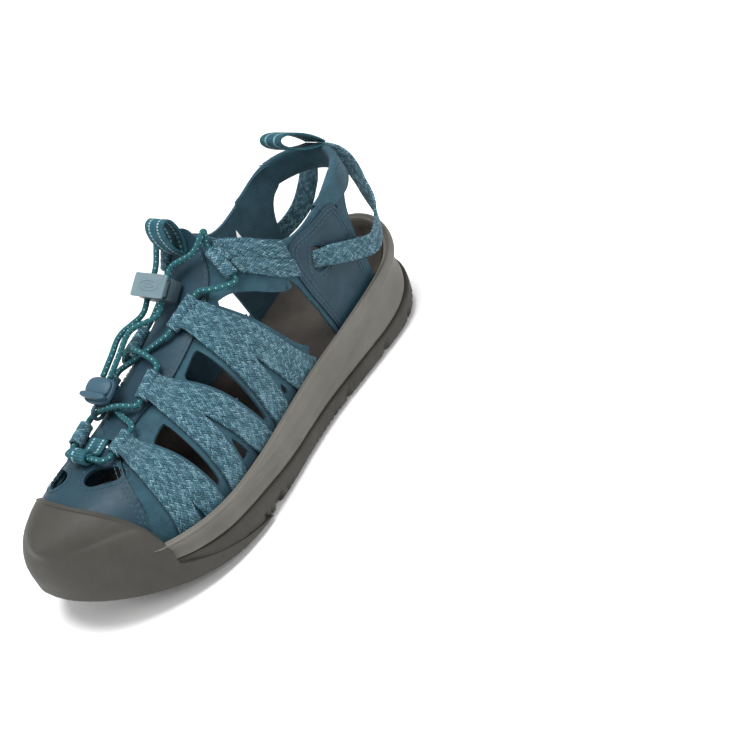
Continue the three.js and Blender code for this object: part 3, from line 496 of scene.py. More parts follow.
# %% [markdown]
# ### Tape, lace and the small moulded parts
# The pull loops are woven tape with two light stripes. The lace is an elastic cord with a braided
# cover: diamond yarns in teal with a light fleck at each crossing. The lock is moulded plastic.

# %% Tape, lace and small part materials
def make_tape(name):
    material, tree, shader = new_material(name, 0.8)
    uv = node(tree, "ShaderNodeUVMap", uv_map="UVMap")
    split = node(tree, "ShaderNodeSeparateXYZ", {0: uv.outputs[0]})
    across, along = split.outputs[0], split.outputs[1]
    offset = math_node(tree, "ABSOLUTE", math_node(tree, "SUBTRACT", math_node(tree, "ABSOLUTE", across), 3.1 * MM))
    in_stripe = math_node(tree, "LESS_THAN", offset, 0.55 * MM)
    dash = math_node(tree, "GREATER_THAN", math_node(tree, "SINE", math_node(
        tree, "MULTIPLY", along, 2 * math.pi / (1.8 * MM))), -0.35)
    light = math_node(tree, "MULTIPLY", in_stripe, dash)
    ribs = math_node(tree, "SINE", math_node(tree, "MULTIPLY", along, 2 * math.pi / (0.9 * MM)))
    base = ramp(tree, math_node(tree, "MULTIPLY_ADD", ribs, 0.2, object_noise(tree, 3, 3)),
                [(0.2, "#173a45"), (0.8, "#2c5c68")])
    colour = node(tree, "ShaderNodeMix", {0: light, 6: base, 7: linear("#86a3a8")}, data_type="RGBA")
    tree.links.new(colour.outputs[2], shader.inputs["Base Color"])
    bump(tree, shader, math_node(tree, "MULTIPLY_ADD", light, 0.8, ribs), 0.15, 0.6)
    return material


def make_lace(name):
    material, tree, shader = new_material(name, 0.7)
    uv = node(tree, "ShaderNodeUVMap", uv_map="UVMap")
    split = node(tree, "ShaderNodeSeparateXYZ", {0: uv.outputs[0]})
    around, along = split.outputs[0], split.outputs[1]
    strands, pitch = 6, 3.0
    turn = math_node(tree, "MULTIPLY", around, 2 * math.pi * strands / (math.pi * LACE * MM))
    run = math_node(tree, "MULTIPLY", along, 2 * math.pi / (pitch / 3 * MM))
    left = math_node(tree, "SINE", math_node(tree, "ADD", turn, run))
    right = math_node(tree, "SINE", math_node(tree, "SUBTRACT", turn, run))
    weave = math_node(tree, "MAXIMUM", left, right)
    base = ramp(tree, math_node(tree, "MULTIPLY_ADD", weave, 0.3, 0.5), [(0.25, "#10333b"), (0.8, "#235c64")])
    fleck_turn = math_node(tree, "COSINE", math_node(tree, "MULTIPLY", around, 2 * math.pi * 2 / (math.pi * LACE * MM)))
    fleck_run = math_node(tree, "COSINE", math_node(tree, "MULTIPLY", along, 2 * math.pi / (pitch * MM)))
    fleck = math_node(tree, "GREATER_THAN", math_node(tree, "MULTIPLY", fleck_turn, fleck_run), 0.88)
    colour = node(tree, "ShaderNodeMix", {0: fleck, 6: base, 7: linear("#9ebcb8")}, data_type="RGBA")
    tree.links.new(colour.outputs[2], shader.inputs["Base Color"])
    bump(tree, shader, weave, 0.2, 0.7)
    return material


woven_tape = make_tape("striped woven tape")
braided_lace = make_lace("braided elastic lace")
lock_plastic = make_moulded("moulded acetal lock", "#5f747d", "#54696f", 0.4, 0.4, 0.04)
lock_dark = make_moulded("moulded acetal body", "#3d4f57", "#34454c", 0.45, 0.4, 0.04)
hook_rubber = make_moulded("soft moulded rubber", "#34505f", "#2b4452", 0.46, 0.5, 0.06)
thread = make_moulded("polyester thread", "#3e5f6c", "#2c4855", 0.6, 0.3, 0.05)
light_thread = make_moulded("light polyester thread", "#5f7f8b", "#4c6b78", 0.6, 0.3, 0.05)
spring_steel, _, steel_shader = new_material("spring steel", 0.3, Metallic=1.0)
steel_shader.inputs["Base Color"].default_value = linear("#b5b7b8")

# %% [markdown]
# ## Walking around the sole
# The outline is read at even steps of its own length, so that the grid stays regular at the round heel
# and toe. Level loops with a growing inset and height then make walls, ledges and floors.

# %% Even steps round the outline
RAW_G = [0.5 - 0.5 * math.cos(math.pi * i / 600) for i in range(601)]
RAW_LENGTH = [0.0]
for g_before, g_here in zip(RAW_G, RAW_G[1:]):
    a, b = (Vector((outline(g, 0, 1), -g * SOLE_LENGTH)) for g in (g_before, g_here))
    RAW_LENGTH.append(RAW_LENGTH[-1] + (b - a).length)
RAW_SHARE = np.array(RAW_LENGTH) / RAW_LENGTH[-1]


def even(t):
    return float(np.interp(t, RAW_SHARE, RAW_G))


def sole_point(g, side, inset, height):
    share = inset / SOLE_LENGTH
    f = share + g * (1 - 2 * share)
    return Vector((outline(f, inset, side), HALF_LENGTH - f * SOLE_LENGTH, height(f)))


def read_levels(levels, t):
    """Inset and height share at t along a profile given by a few [inset, height] corners."""
    corners = np.array(levels, float)
    steps = np.hypot(*np.diff(corners, axis=0).T)
    at = np.concatenate([[0], np.cumsum(steps)]) / steps.sum()
    return float(np.interp(t, at, corners[:, 0])), float(np.interp(t, at, corners[:, 1]))


def ring_sheet(around, rows, level_at):
    """A closed band round the sole; level_at(row share, g, side) gives its inset and a height function."""

    def place(u, v):
        side = 1 if u <= 0.5 else -1
        g = even(2 * u if side > 0 else 2 - 2 * u)
        inset, height = level_at(v, g, side)
        return sole_point(g, side, inset, lambda f: height)

    return bend_grid(around, rows, place)


def n3(x, y, z=0.0):
    return noise.noise(Vector((x, y, z)))


# %% [markdown]
# ### Outsole
# The tread is cut like bark: short, tapering grooves that wander across the sole. Under the arch it
# changes to close ribs round an oval. The rubber wraps up the wall, and the grooves run out into it as
# notches. It is one grid from wall top to wall top, with the grooves as real depth.

# %% Outsole
GROOVE = 2.4
OVAL_Y, OVAL_LONG, OVAL_SHORT = 4, 15, 7


def groove_share(x, y):
    middle = centre_line(station(y))
    bend = 4.5 * n3(x / 17, y / 17, 4)
    streak = abs(n3(x / 24 + 0.02 * y, (y + bend) / 4.6, 1))
    broken = smooth(n3(x / 15, y / 10, 9), -0.22, -0.02)
    bark = (1 - smooth(streak, 0.035, 0.13)) * broken
    rib = smooth(math.sin(2 * math.pi * (y + 0.8 * n3(x / 6, y / 8, 2)) / 4.2), -0.1, 0.55)
    rib *= 1 - smooth(abs(x - middle + 2 * n3(y / 5, 3)), 19, 24)
    arch = smooth(y, -26, -20) * (1 - smooth(y, 30, 36))
    cut = mix(bark, rib, arch)
    split = 1 - smooth(abs(y - 78 - 2 * n3(x / 14, 5)), 1.4, 2.6)
    cut = max(cut, split * smooth(x, -34, -20))
    oval = math.hypot((x - middle) / OVAL_LONG, (y - OVAL_Y) / OVAL_SHORT)
    if oval < 1.25:
        ring = 1 - smooth(abs(oval - 1), 0.03, 0.1)
        inner = 1 - smooth(abs(oval - 0.6), 0.05, 0.12)
        cut = 0.55 - 0.55 * max(ring, inner * 0.8)
    rest = smooth(y, -133, -118) * 0.9 + 0.1
    return cut * rest


OUTSOLE_WALL = [[4, 11.6], [3.2, 13], [0.5, 13], [0, 12.4], [0.05, 9], [0.7, 4.4], [2.2, 1.6], [4.2, 0.3], [6.2, 0]]
WALL_SHARE = 0.16


def outsole_place(u, v):
    g = even(v)
    side = 1 if u < 0.5 else -1
    w = min(u, 1 - u)
    if w < WALL_SHARE:
        inset, height = read_levels(OUTSOLE_WALL, w / WALL_SHARE)
        height *= wrap(g) / OUTSOLE_WRAP
        point = sole_point(g, side, inset, lambda f: bottom(f) + height)
        toe = smooth(-point.y, 78, 92)
        notch = groove_share(point.x * 0.6, point.y) * (1 - smooth(height, 2.5, 10.5)) * (1 - toe)
        tuck = toe * smooth(height, 3, 5) * 1.2
        return sole_point(g, side, inset + 1.7 * notch + tuck, lambda f: bottom(f) + height + 0.8 * notch)
    across = (u - WALL_SHARE) / (1 - 2 * WALL_SHARE)
    edges = [sole_point(g, s, 6.2, bottom) for s in (1, -1)]
    point = edges[0].lerp(edges[1], across)
    margin = smooth(min(across, 1 - across), 0.0, 0.06) * 0.6 + 0.4
    point.z += GROOVE * groove_share(point.x, point.y) * margin
    return point


outsole = link(bend_grid(150, 320, outsole_place), "outsole_rubber")
outward(outsole, (0, 0, 0.02))
settle(outsole, tread_rubber, replaces=["outsole"])
print("outsole faces", len(outsole.data.polygons))

# %% [markdown]
# ### Midsole
# Moulded foam with a concave wall: it starts inside the rubber, sweeps in, then flares to a soft rim. A
# crease wanders along the wall, and the rim has a shallow gutter before it drops to the footbed.

# %% Midsole
MIDSOLE_WALL = [[2.2, 0.0], [0.9, 0.04], [0.7, 0.12], [1.9, 0.42], [1.6, 0.68], [0.5, 0.86], [0.35, 0.93], [0.9, 0.985],
                [1.6, 1.0], [2.4, 0.985], [2.9, 0.95], [3.4, 0.965], [4.0, 0.97], [4.5, 0.92], [4.7, 0.8],
                [4.7, 0.4], [5.0, 0.1]]
MID_INSETS = [level[0] for level in MIDSOLE_WALL]
MID_HEIGHTS = [level[1] for level in MIDSOLE_WALL]
MID_AT = np.linspace(0, 1, len(MIDSOLE_WALL))
SMOOTH_AT = np.linspace(0, 1, 200)
KERNEL = np.hanning(17) / np.hanning(17).sum()


def soften(values):
    dense = np.interp(SMOOTH_AT, MID_AT, values)
    return np.convolve(np.pad(dense, 8, mode="edge"), KERNEL, mode="valid")


SOFT_INSETS, SOFT_HEIGHTS = soften(MID_INSETS), soften(MID_HEIGHTS)


def midsole_level(v, g, side):
    inset, share = (float(np.interp(v, SMOOTH_AT, values)) for values in (SOFT_INSETS, SOFT_HEIGHTS))
    low, high = bottom(g) + wrap(g) - 0.3, rim(g)
    line = mix(0.82, 0.3, smooth(g, 0.06, 0.42)) + 0.32 * smooth(g, 0.5, 0.78)
    outer = 1 - smooth(v, 0.42, 0.5)
    crease = outer * (0.9 * (1 - smooth(share, line - 0.05, line)) - 0.5 * math.exp(-((share - line - 0.04) / 0.05) ** 2))
    gutter = outer * math.exp(-((share - line - 0.26) / 0.04) ** 2) * smooth(g, 0.3, 0.6)
    crease += 0.5 * gutter
    heel_flare = (1 - smooth(g, 0.0, 0.45)) * smooth(share, 0.5, 0.9) * (0.5 if v < 0.6 else 0)
    return inset + crease - heel_flare, mix(low, high, share)


midsole = link(ring_sheet(320, 96, midsole_level), "midsole_foam")
outward(midsole, (0, 0, 0.02))


def trim(piece, keep):
    """Deletes the faces whose middle fails keep(x, y, z), all in millimetres."""
    bm = bmesh.new()
    bm.from_mesh(piece.data)
    lost = [face for face in bm.faces if not keep(*(face.calc_center_median() / MM))]
    bmesh.ops.delete(bm, geom=lost, context="FACES")
    bm.to_mesh(piece.data)
    bm.free()


TOE_LINE = -110


def bumper_edge(x):
    return TOE_LINE + 0.007 * x * x


trim(midsole, lambda x, y, z: y > bumper_edge(x) - 3 + 5 * smooth(abs(x), 32, 44))
settle(midsole, foam_skin, replaces=["midsole"])
print("midsole faces", len(midsole.data.polygons))

# %% [markdown]
# ### Toe bumper
# The bumper is the outsole's rubber carried up over the toes. It starts below the wrap, so that the two
# read as the one moulding that they are, follows the last a few millimetres off, and ends in a thick
# rounded lip. A soft crease marks where the dome meets the side.

# %% Toe bumper
BUMPER_LIFT = LINING_LOW + LINING + 0.3 + 2.6
TAIL = 52  # how far the rubber sweeps back along the wall below the lip


def bumper_place(u, v):
    """u runs over the toe from side to side, v from the lip to the tip."""
    side = 1 if u <= 0.5 else -1
    w = 2 * min(u, 1 - u)
    wall = 0.3
    if w < wall:
        rise = w / wall
        inset = -0.15
        start, turn = rise, 0.0
    else:
        start, turn = 1.0, (w - wall) / (1 - wall) * math.pi / 2
        inset = LAST_INSET - mix(LAST_INSET + 0.15, BUMPER_LIFT, smooth(turn, 0, 0.9))
    lip_x = math.cos(turn) * 44 * side
    lip_y = bumper_edge(lip_x) + TAIL * (1 - start) ** 1.6
    share = inset / SOLE_LENGTH
    g_lip = (station(lip_y) - share) / (1 - 2 * share)
    g = 1 - (1 - g_lip) * math.cos(v * math.pi / 2) ** 1.25
    f = share + g * (1 - 2 * share)
    if start < 1:
        low = bottom(f) + 3.4
        point = sole_point(g, side, inset, lambda f: mix(low, rim(f) - FORM_BASE, start))
        return point
    point = form_point(f, turn if side > 0 else math.pi - turn, LAST_INSET - inset)
    crease = math.exp(-((turn - 0.55 - 0.25 * v) / 0.07) ** 2) * smooth(v, 0.02, 0.2) * (1 - smooth(v, 0.6, 0.9))
    swell = 0.8 * math.exp(-(v / 0.07) ** 2)
    point.z += swell * math.sin(turn) - 0.7 * crease
    return point


toe_bumper = link(bend_grid(150, 90, bumper_place), "toe_bumper_rubber")
outward(toe_bumper, (0, 0, 0.02))
finish_cloth(toe_bumper, 2.3, outwards=False, round_edge=False, levels=0)
modifier(toe_bumper, "BEVEL", width=0.9 * MM, segments=3, limit_method="ANGLE", angle_limit=math.radians(60),
         profile=0.5, material=-1)
settle(toe_bumper, moulded_rubber, replaces=["toe_bumper"])

# %% [markdown]
# ### Footbed
# The footbed is dished: it rises at its edge and is flat in the middle. A ring and plain bars stand for
# the moulded marks at the heel, and a fine line follows the arch.

# %% Footbed
MARK_Y = 88


def footbed_place(u, v):
    g = even(u)
    edges = [sole_point(g, side, 6.0, lambda f: rim(f)) for side in (1, -1)]
    point = edges[0].lerp(edges[1], v)
    gap = min(v, 1 - v) * (edges[0] - edges[1]).length
    end = min(u, 1 - u) * SOLE_LENGTH * 1.25
    edge = min(gap, end)
    point.z += mix(-7.2, -3.2, (1 - smooth(edge, 0, 17)) ** 1.5)
    middle = centre_line(station(point.y))
    radius = math.hypot(point.x - middle, point.y - MARK_Y)
    mark = 1 - smooth(abs(radius - 15), 0.7, 1.5)
    mark = max(mark, 1 - smooth(abs(radius - 12.4), 0.3, 0.9))
    for k in range(3):
        bar_x, bar_y = abs(point.x - middle) - 7, abs(point.y - MARK_Y - (k - 1) * 5.5)
        mark = max(mark, (1 - smooth(bar_x, 0, 0.8)) * (1 - smooth(bar_y, 0.9, 1.7)))
    arch_line = abs(point.x - (-14 + 0.004 * (point.y - 10) ** 2))
    seam = (1 - smooth(arch_line, 0.4, 1.1)) * (1 - smooth(abs(point.y - 5), 45, 50))
    point.z -= 0.55 * mark + 0.5 * seam
    return point


footbed = link(bend_grid(280, 84, footbed_place), "footbed_textile")
outward(footbed, (0, 0, 0.0))
settle(footbed, footbed_cloth, replaces=["footbed_cover"])
for node_name, look, slot_name in (("footbed_foam", foam_skin, "footbed_foam"),
                                   ("lasting_board", board_fibre, "board")):
    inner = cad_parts[node_name]
    inner.data.materials.clear()
    inner.data.materials.append(look)

# %% [markdown]
# ## Cutting cloth
# A pattern piece is an outline in flat measures. The outline is held as a distance, positive inside the
# cloth, so the same function trims a fine grid, snaps its edge to the line, and says where a row of
# stitching runs a few millimetres inside it.

# %% Outlines as distances
def corner_cut(points, rounds=2):
    points = [Vector(p) for p in points]
    for _ in range(rounds):
        points = [a.lerp(b, t) for a, b in zip(points, points[1:] + points[:1]) for t in (0.25, 0.75)]
    return points


def polygon_distance(points):
    starts = np.array([tuple(p) for p in points])
    ends = np.roll(starts, -1, axis=0)
    spans = ends - starts
    squares = (spans ** 2).sum(axis=1) + 1e-12

    def distance(x, y):
        to = np.array([x, y]) - starts
        t = np.clip((to * spans).sum(axis=1) / squares, 0, 1)
        gap = np.hypot(*(to - spans * t[:, None]).T).min()
        above, below = starts[:, 1] > y, ends[:, 1] > y
        crossing = above != below
        cross_x = starts[crossing, 0] + (y - starts[crossing, 1]) / spans[crossing, 1] * spans[crossing, 0]
        return gap if (cross_x > x).sum() % 2 else -gap

    return distance


def capsule_distance(start, end, radius_at):
    start, end = Vector(start), Vector(end)
    span = end - start

    def distance(x, y):
        t = clamp((Vector((x, y)) - start).dot(span) / span.length_squared)
        return radius_at(t) - (Vector((x, y)) - start - span * t).length

    return distance


def cut_cloth(name, distance, domain, cell, place, thickness, levels=1, outwards=True):
    (x_low, x_high), (y_low, y_high) = domain
    across, along = round((x_high - x_low) / cell), round((y_high - y_low) / cell)
    bm = bmesh.new()
    bmesh.ops.create_grid(bm, x_segments=across, y_segments=along, size=0.5)
    depth = {}
    step = 0.05
    for vert in bm.verts:
        x, y = mix(x_low, x_high, vert.co.x + 0.5), mix(y_low, y_high, vert.co.y + 0.5)
        home_x, home_y = x, y
        inside = distance(x, y)
        for _ in range(3):
            if abs(inside) > cell * 3 or abs(inside) < 0.01:
                break
            slope_x = (distance(x + step, y) - inside) / step
            slope_y = (distance(x, y + step) - inside) / step
            length = max(math.hypot(slope_x, slope_y), 0.3)
            if abs(inside) > cell * 0.5 * length:
                break
            x, y = x - inside * slope_x / length ** 2, y - inside * slope_y / length ** 2
            moved = max(math.hypot(x - home_x, y - home_y) / (0.8 * cell), 1)
            x, y = mix(home_x, x, 1 / moved), mix(home_y, y, 1 / moved)
            inside = distance(x, y)
        vert.co = Vector((x, y, 0))
        depth[vert] = inside
    outside = {vert for vert, inside in depth.items() if inside < -0.05}
    for face in bm.faces[:]:
        bad = [corner for corner in face.loops if corner.vert in outside]
        if len(bad) == 1:
            bmesh.utils.face_split(face, bad[0].link_loop_prev.vert, bad[0].link_loop_next.vert)
    lost = [face for face in bm.faces if any(vert in outside for vert in face.verts)]
    bmesh.ops.delete(bm, geom=lost, context="FACES")
    loose = [vert for vert in bm.verts if not vert.link_faces]
    bmesh.ops.delete(bm, geom=loose, context="VERTS")
    layer = bm.loops.layers.uv.new("UVMap")
    for face in bm.faces:
        for corner in face.loops:
            corner[layer].uv = (corner.vert.co.x * MM, corner.vert.co.y * MM)
    for vert in bm.verts:
        vert.co = place(vert.co.x, vert.co.y) * MM
    piece = link(bm, name)
    outward(piece)
    finish_cloth(piece, thickness, outwards=outwards, levels=levels)
    return piece


def inside_row(points, distance, inset):
    """The outline's points moved inwards by inset."""
    row, step = [], 0.05
    for point in points:
        x, y = point
        for _ in range(3):
            here = distance(x, y)
            slope_x = (distance(x + step, y) - distance(x - step, y)) / (2 * step)
            slope_y = (distance(x, y + step) - distance(x, y - step)) / (2 * step)
            length = max(math.hypot(slope_x, slope_y), 0.3)
            x, y = x + (inset - here) * slope_x / length, y + (inset - here) * slope_y / length
        if abs(distance(x, y) - inset) < 0.4:
            row.append(Vector((x, y)))
    return row


# %% [markdown]
# ### Stitching
# Each stitch is a short rounded dash that lies on the cloth and dips in at its ends. A row is a path in
# millimetres that is walked at the stitch length.

# %% Stitch rows
STITCH, STITCH_GAP, THREAD = 2.1, 0.8, 0.5
stitch_rows = []


def stitch(path, material=None):
    """Adds dashes along a path of points that already lie on the surface."""
    path = [p for p in path if p is not None]
    lengths = [0.0]
    for a, b in zip(path, path[1:]):
        lengths.append(lengths[-1] + (b - a).length)
    if lengths[-1] < STITCH:
        return
    table = np.array([tuple(p) for p in path])
    read = lambda s: Vector([float(np.interp(s, lengths, table[:, k])) for k in range(3)])
    at = 0.0
    while at + STITCH < lengths[-1]:
        a, b = read(at), read(at + STITCH)
        if (b - a).length > STITCH * 0.6:
            stitch_rows.append((a, b))
        at += STITCH + STITCH_GAP


def link_stitches(name, body=ROOT, material=None):
    bm = bmesh.new()
    for a, b in stitch_rows:
        middle, along = (a + b) / 2 * MM, (b - a)
        turn = along.to_track_quat("X", "Z").to_matrix().to_4x4()
        size = Matrix.Diagonal((along.length * MM, THREAD * MM, THREAD * MM, 1))
        made = bmesh.ops.create_cube(bm, size=1, matrix=Matrix.Translation(middle) @ turn @ size)["verts"]
        ends = {v for v in made if (v.co - a * MM).length < (v.co - b * MM).length}
        for group, end in ((ends, a), (set(made) - ends, b)):
            for vert in group:
                vert.co = vert.co.lerp(end * MM, 0.35)
    count = len(stitch_rows)
    stitch_rows.clear()
    piece = link(bm, name)
    settle(piece, material or thread, body)
    print(name, count, "stitches")
    return piece

# %% [markdown]
# ## The upper's lining
# The lining is one piece of neoprene under the straps. It shows as a few millimetres of edge beside
# every strap leg, so its outline is made from the legs themselves: each leg widened by a margin, joined
# to the tongue strip, the toe and the bottom hem, and everything between them left open.

# %% Strap layout
STRAPS = {
    1: [{"tunnel": [(-77, 10), (-65, 12)], "legs": [(-83, 13), (-66, 13)]},
        {"tunnel": [(-48, 10), (-34, 10)], "legs": [(-49, 13.5), (-20, 14)]},
        {"tunnel": [(-13, 9), (3, 14)], "legs": [(-3, 14), (28, 14.5)]}],
    -1: [{"tunnel": [(-76, 14), (-64, 15)], "legs": [(-79, 13), (-62, 15)]},
         {"tunnel": [(-50, 16), (-36, 16)], "legs": [(-45, 14), (-22, 15)]},
         {"tunnel": [(-24.5, 16), (-8, 18)], "legs": [(-2, 15), (22, 15)]}],
}
SIDES = {"lateral": 1, "medial": -1}
SHOWN_EDGE = 2.2
LEG_TRIM = 0.92
SEAM_Y, TONGUE_TOP, VAMP_TOP = 44, 27, -66


def leg_line(side, strap, i):
    """A leg's start and end in [y, around], and its width along the way."""
    (y0, a0), (y1, a1) = strap["tunnel"]
    root, width = strap["legs"][i]
    start = (mix(y0, y1, 0.42 if i == 0 else 0.58), side * ((a0 + a1) / 2 + 0.4))
    end = (root, side * edge_girth(root, side))
    room = abs(y1 - y0) * 0.66
    return start, end, lambda t: mix(room, width * LEG_TRIM, smooth(t, 0, 0.5))


LEGS = [(side, strap, i) for side in (1, -1) for strap in STRAPS[side] for i in (0, 1)]
LEG_FIELDS = []
for side, strap, i in LEGS:
    start, end, width_at = leg_line(side, strap, i)
    span = Vector(end) - Vector(start)
    slant = abs(span.y) / span.length
    LEG_FIELDS.append(capsule_distance(start, end, lambda t, w=width_at, s=slant: w(t) / 2 * s + SHOWN_EDGE))


PORT_LINES = (((-94, -15), (-89, -23), 5.2, 3.8), ((-89, 6), (-84, 14), 5.6, 4.2), ((-72, -9), (-70, 1), 2.3, 2.3))
VAMP_PORTS = [capsule_distance(a, b, lambda t, r0=r0, r1=r1: mix(r0, r1, t)) for a, b, r0, r1 in PORT_LINES]


def soft_union(values, blend=2.5):
    best = max(values)
    return best + blend * math.log(sum(math.exp((v - best) / blend) for v in values)) * 0.5


def forefoot_distance(y, around):
    side = 1 if around >= 0 else -1
    legs = sorted((field(y, around) for field, leg in zip(LEG_FIELDS, LEGS) if leg[0] == side))[-2:]
    throat = mix(23, 21, smooth(y, -60, 0)) - abs(around - 2 * (side < 0))
    toe = -80 - y - 0.1 * abs(around)
    hem = abs(around) - edge_girth(y, side) + 13 if y < 36 else -9
    parts = legs + [throat, toe, hem]
    if y > 8:
        z = on_form(y, around, 0).z
        parts.append(z - mix(88, 71.5, smooth(y, 14, 44)))
    fabric = soft_union(parts, 1.6)
    front = mix(TONGUE_TOP - 1, SEAM_Y, smooth(abs(around) / edge_girth(y, side), 0.04, 0.14)) - y
    collar = 9 if y < 20 else mix(118, 97, smooth(y, 22, 42)) - on_form(y, around, 0).z
    return min([fabric, front, collar, y + 120] + [-1.8 - port(y, around) for port in VAMP_PORTS])


forefoot_lining = cut_cloth("forefoot_lining_neoprene", forefoot_distance, ((-120, SEAM_Y), (-104, 104)), 1.45,
                            lambda y, around: on_form(y, around, LINING_LOW), LINING)
settle(forefoot_lining, neoprene, replaces=["forefoot_lining"])
print("lining faces", len(forefoot_lining.data.polygons))

# %% [markdown]
# ### Vamp panel and tongue
# The vamp overlay lies on the lining behind the bumper and has three ports. The tongue is a narrow
# overlay that runs up under the lacing and widens over the instep.

# %% Vamp and tongue
VAMP_OUTLINE = corner_cut([(-119, -46), (-96, -47), (-88, -40), (-80, -26), (-70, -16), (-65.5, -10), (-65.5, 6),
                           (-70, 10), (-78, 14), (-86, 24), (-92, 36), (-97, 44), (-119, 46)])
vamp_edge = polygon_distance(VAMP_OUTLINE)


def vamp_distance(y, around):
    return min([vamp_edge(y, around)] + [-port(y, around) for port in VAMP_PORTS])


vamp = cut_cloth("vamp_overlay", vamp_distance, ((-119, -64), (-50, 48)), 1.3,
                 lambda y, around: on_form(y, around, OVER_LINING - 0.5), OVERLAY)
settle(vamp, coated_synthetic, replaces=["vamp_panel"])

TONGUE_OUTLINE = corner_cut([(-66, -8), (-50, -11), (-40, -17), (-10, -19), (12, -19), (20, -9), (TONGUE_TOP + 1, -8),
                             (TONGUE_TOP + 1, 7), (20, 16), (12, 19), (-10, 19), (-40, 17), (-50, 11), (-66, 8)])
tongue_edge = polygon_distance(TONGUE_OUTLINE)
tongue = cut_cloth("tongue_overlay", tongue_edge, ((-67, 29), (-21, 21)), 1.7,
                   lambda y, around: on_form(y, around, OVER_LINING - 0.4), 1.1)
settle(tongue, coated_synthetic, replaces=["tongue"])

over_vamp = lambda p: on_form(p.x, p.y, OVER_LINING - 0.5 + OVERLAY + 0.12)
over_tongue = lambda p: on_form(p.x, p.y, OVER_LINING - 0.4 + 1.1 + 0.12)
for inset in (2.0, 4.2):
    row = [p for p in inside_row(VAMP_OUTLINE, vamp_edge, inset) if p.x > bumper_edge(p.y) + 2]
    row = [p for p in row if min(-port(*p) for port in VAMP_PORTS) > 1]
    stitch([over_vamp(p) for p in sorted(row, key=lambda p: p.y)])
stitch([over_tongue(p) for p in inside_row(TONGUE_OUTLINE, tongue_edge, 2.0)])
for port, (a, b, _, _) in zip(VAMP_PORTS, PORT_LINES):
    centre = (Vector(a) + Vector(b)) / 2
    loop = []
    for k in range(49):
        ray = Vector((math.cos(k / 24 * math.pi), math.sin(k / 24 * math.pi)))
        reach = 2.0
        while port(*(centre + ray * reach)) > -2.0 and reach < 16:
            reach += 0.2
        loop.append(over_vamp(centre + ray * reach))
    stitch(loop)
link_stitches("vamp_stitching")

# %% [markdown]
# ## Webbing straps
# A strap is one length of webbing folded round the lace: up one leg, over the lace and down the other.
# The fold is a short sleeve, and each leg leaves the top of the sleeve, crosses the tongue and lies down
# on the lining. A leg is a grid whose UV runs along the strap, so the herringbone follows it.

# %% Strap legs and sleeves
TUNNEL_INSIDE = LACE / 2 + 0.7
SLEEVE = 1.3


def web_strip(name, place, width, length, across=12, along=60, thickness=WEBBING):
    piece = link(bend_grid(across, along, place, flat=lambda u, v: ((u - 0.5) * width, v * length)), name)
    outward(piece)
    modifier(piece, "SOLIDIFY", thickness=thickness * MM, offset=1, use_even_offset=False, use_rim=True)
    modifier(piece, "BEVEL", width=0.45 * MM, segments=2, limit_method="ANGLE", angle_limit=math.radians(50),
             profile=0.5, material=-1)
    return piece


def sleeve_piece(name, ends, radius, wall):
    """A short tube of webbing round the line between two ends."""
    start, end = ends
    axis = (end - start).normalized()
    first = axis.cross(Vector((0, 0, 1))).normalized()
    second = axis.cross(first)

    def place(u, v):
        turn = 2 * math.pi * u
        flare = 1 + 0.04 * math.cos(6 * math.pi * v)
        ring = first * math.cos(turn) + second * math.sin(turn)
        return start.lerp(end, v) + ring * radius * flare

    piece = link(bend_grid(28, 10, place, flat=lambda u, v: (v * (end - start).length, u * 2 * math.pi * radius)), name)
    middle = (start + end) / 2 * MM
    mesh = piece.data
    if sum(f.normal.dot(f.center - middle) * f.area for f in mesh.polygons) < 0:
        mesh.flip_normals()
    modifier(piece, "SOLIDIFY", thickness=wall * MM, offset=1, use_even_offset=False, use_rim=True)
    modifier(piece, "BEVEL", width=0.35 * MM, segments=2, limit_method="ANGLE", angle_limit=math.radians(50),
             profile=0.5, material=-1)
    return piece


def tunnel_ends(side, strap):
    return [on_form(y, side * around, TUNNEL_LIFT) for y, around in strap["tunnel"]]


def base_lift(around):
    return OVER_LINING - 0.55 + 1.2 * smooth(28 - around, 0, 6)


def join_pieces(name, pieces):
    """Applies modifiers and joins pieces of one material into one object."""
    graph = bpy.context.evaluated_depsgraph_get()
    bm = bmesh.new()
    for piece in pieces:
        bm.from_mesh(piece.evaluated_get(graph).to_mesh())
        bpy.data.objects.remove(piece)
    mesh = bpy.data.meshes.new(name)
    bm.to_mesh(mesh)
    bm.free()
    mesh.shade_smooth()
    joined = bpy.data.objects.new(name, mesh)
    bpy.context.collection.objects.link(joined)
    return joined


for side_name, side in SIDES.items():
    for k, strap in enumerate(STRAPS[side], 1):
        pieces = [sleeve_piece("sleeve", tunnel_ends(side, strap), TUNNEL_INSIDE, SLEEVE)]
        for i in (0, 1):
            (y0, a0), (y1, a1), width_at = leg_line(side, strap, i)
            length = math.hypot(y1 - y0, a1 - a0)
            top = TUNNEL_LIFT + 0.3 - 0.9 * i

            def leg_place(u, v, y0=y0, a0=a0, y1=y1, a1=a1, width_at=width_at, top=top, i=i):
                t = v ** 1.15
                y = mix(y0, y1, t) + (u - 0.5) * width_at(t)
                around = mix(a0, a1, t)
                low = base_lift(abs(around)) + 0.5 * (1 - i) * (1 - smooth(t, 0.2, 0.5))
                puff = 0.5 * math.cos((u - 0.5) * math.pi) * (1 - smooth(t, 0.8, 1))
                lift = mix(top, low + puff, smooth(t, 0.0, 0.17))
                return on_form(y, around, lift)

            pieces.append(web_strip("leg", leg_place, 15, length))
        webbed = join_pieces(f"strap_webbing_{side_name}_{k}", pieces)
        settle(webbed, woven_webbing, replaces=[f"strap_{side_name}_{k}"])
print("six straps")

# %% [markdown]
# ## Quarters
# Each quarter is a neoprene lining with a smooth overlay on it, and a drop-shaped slot for the heel
# webbing. Their outlines are in y and height.

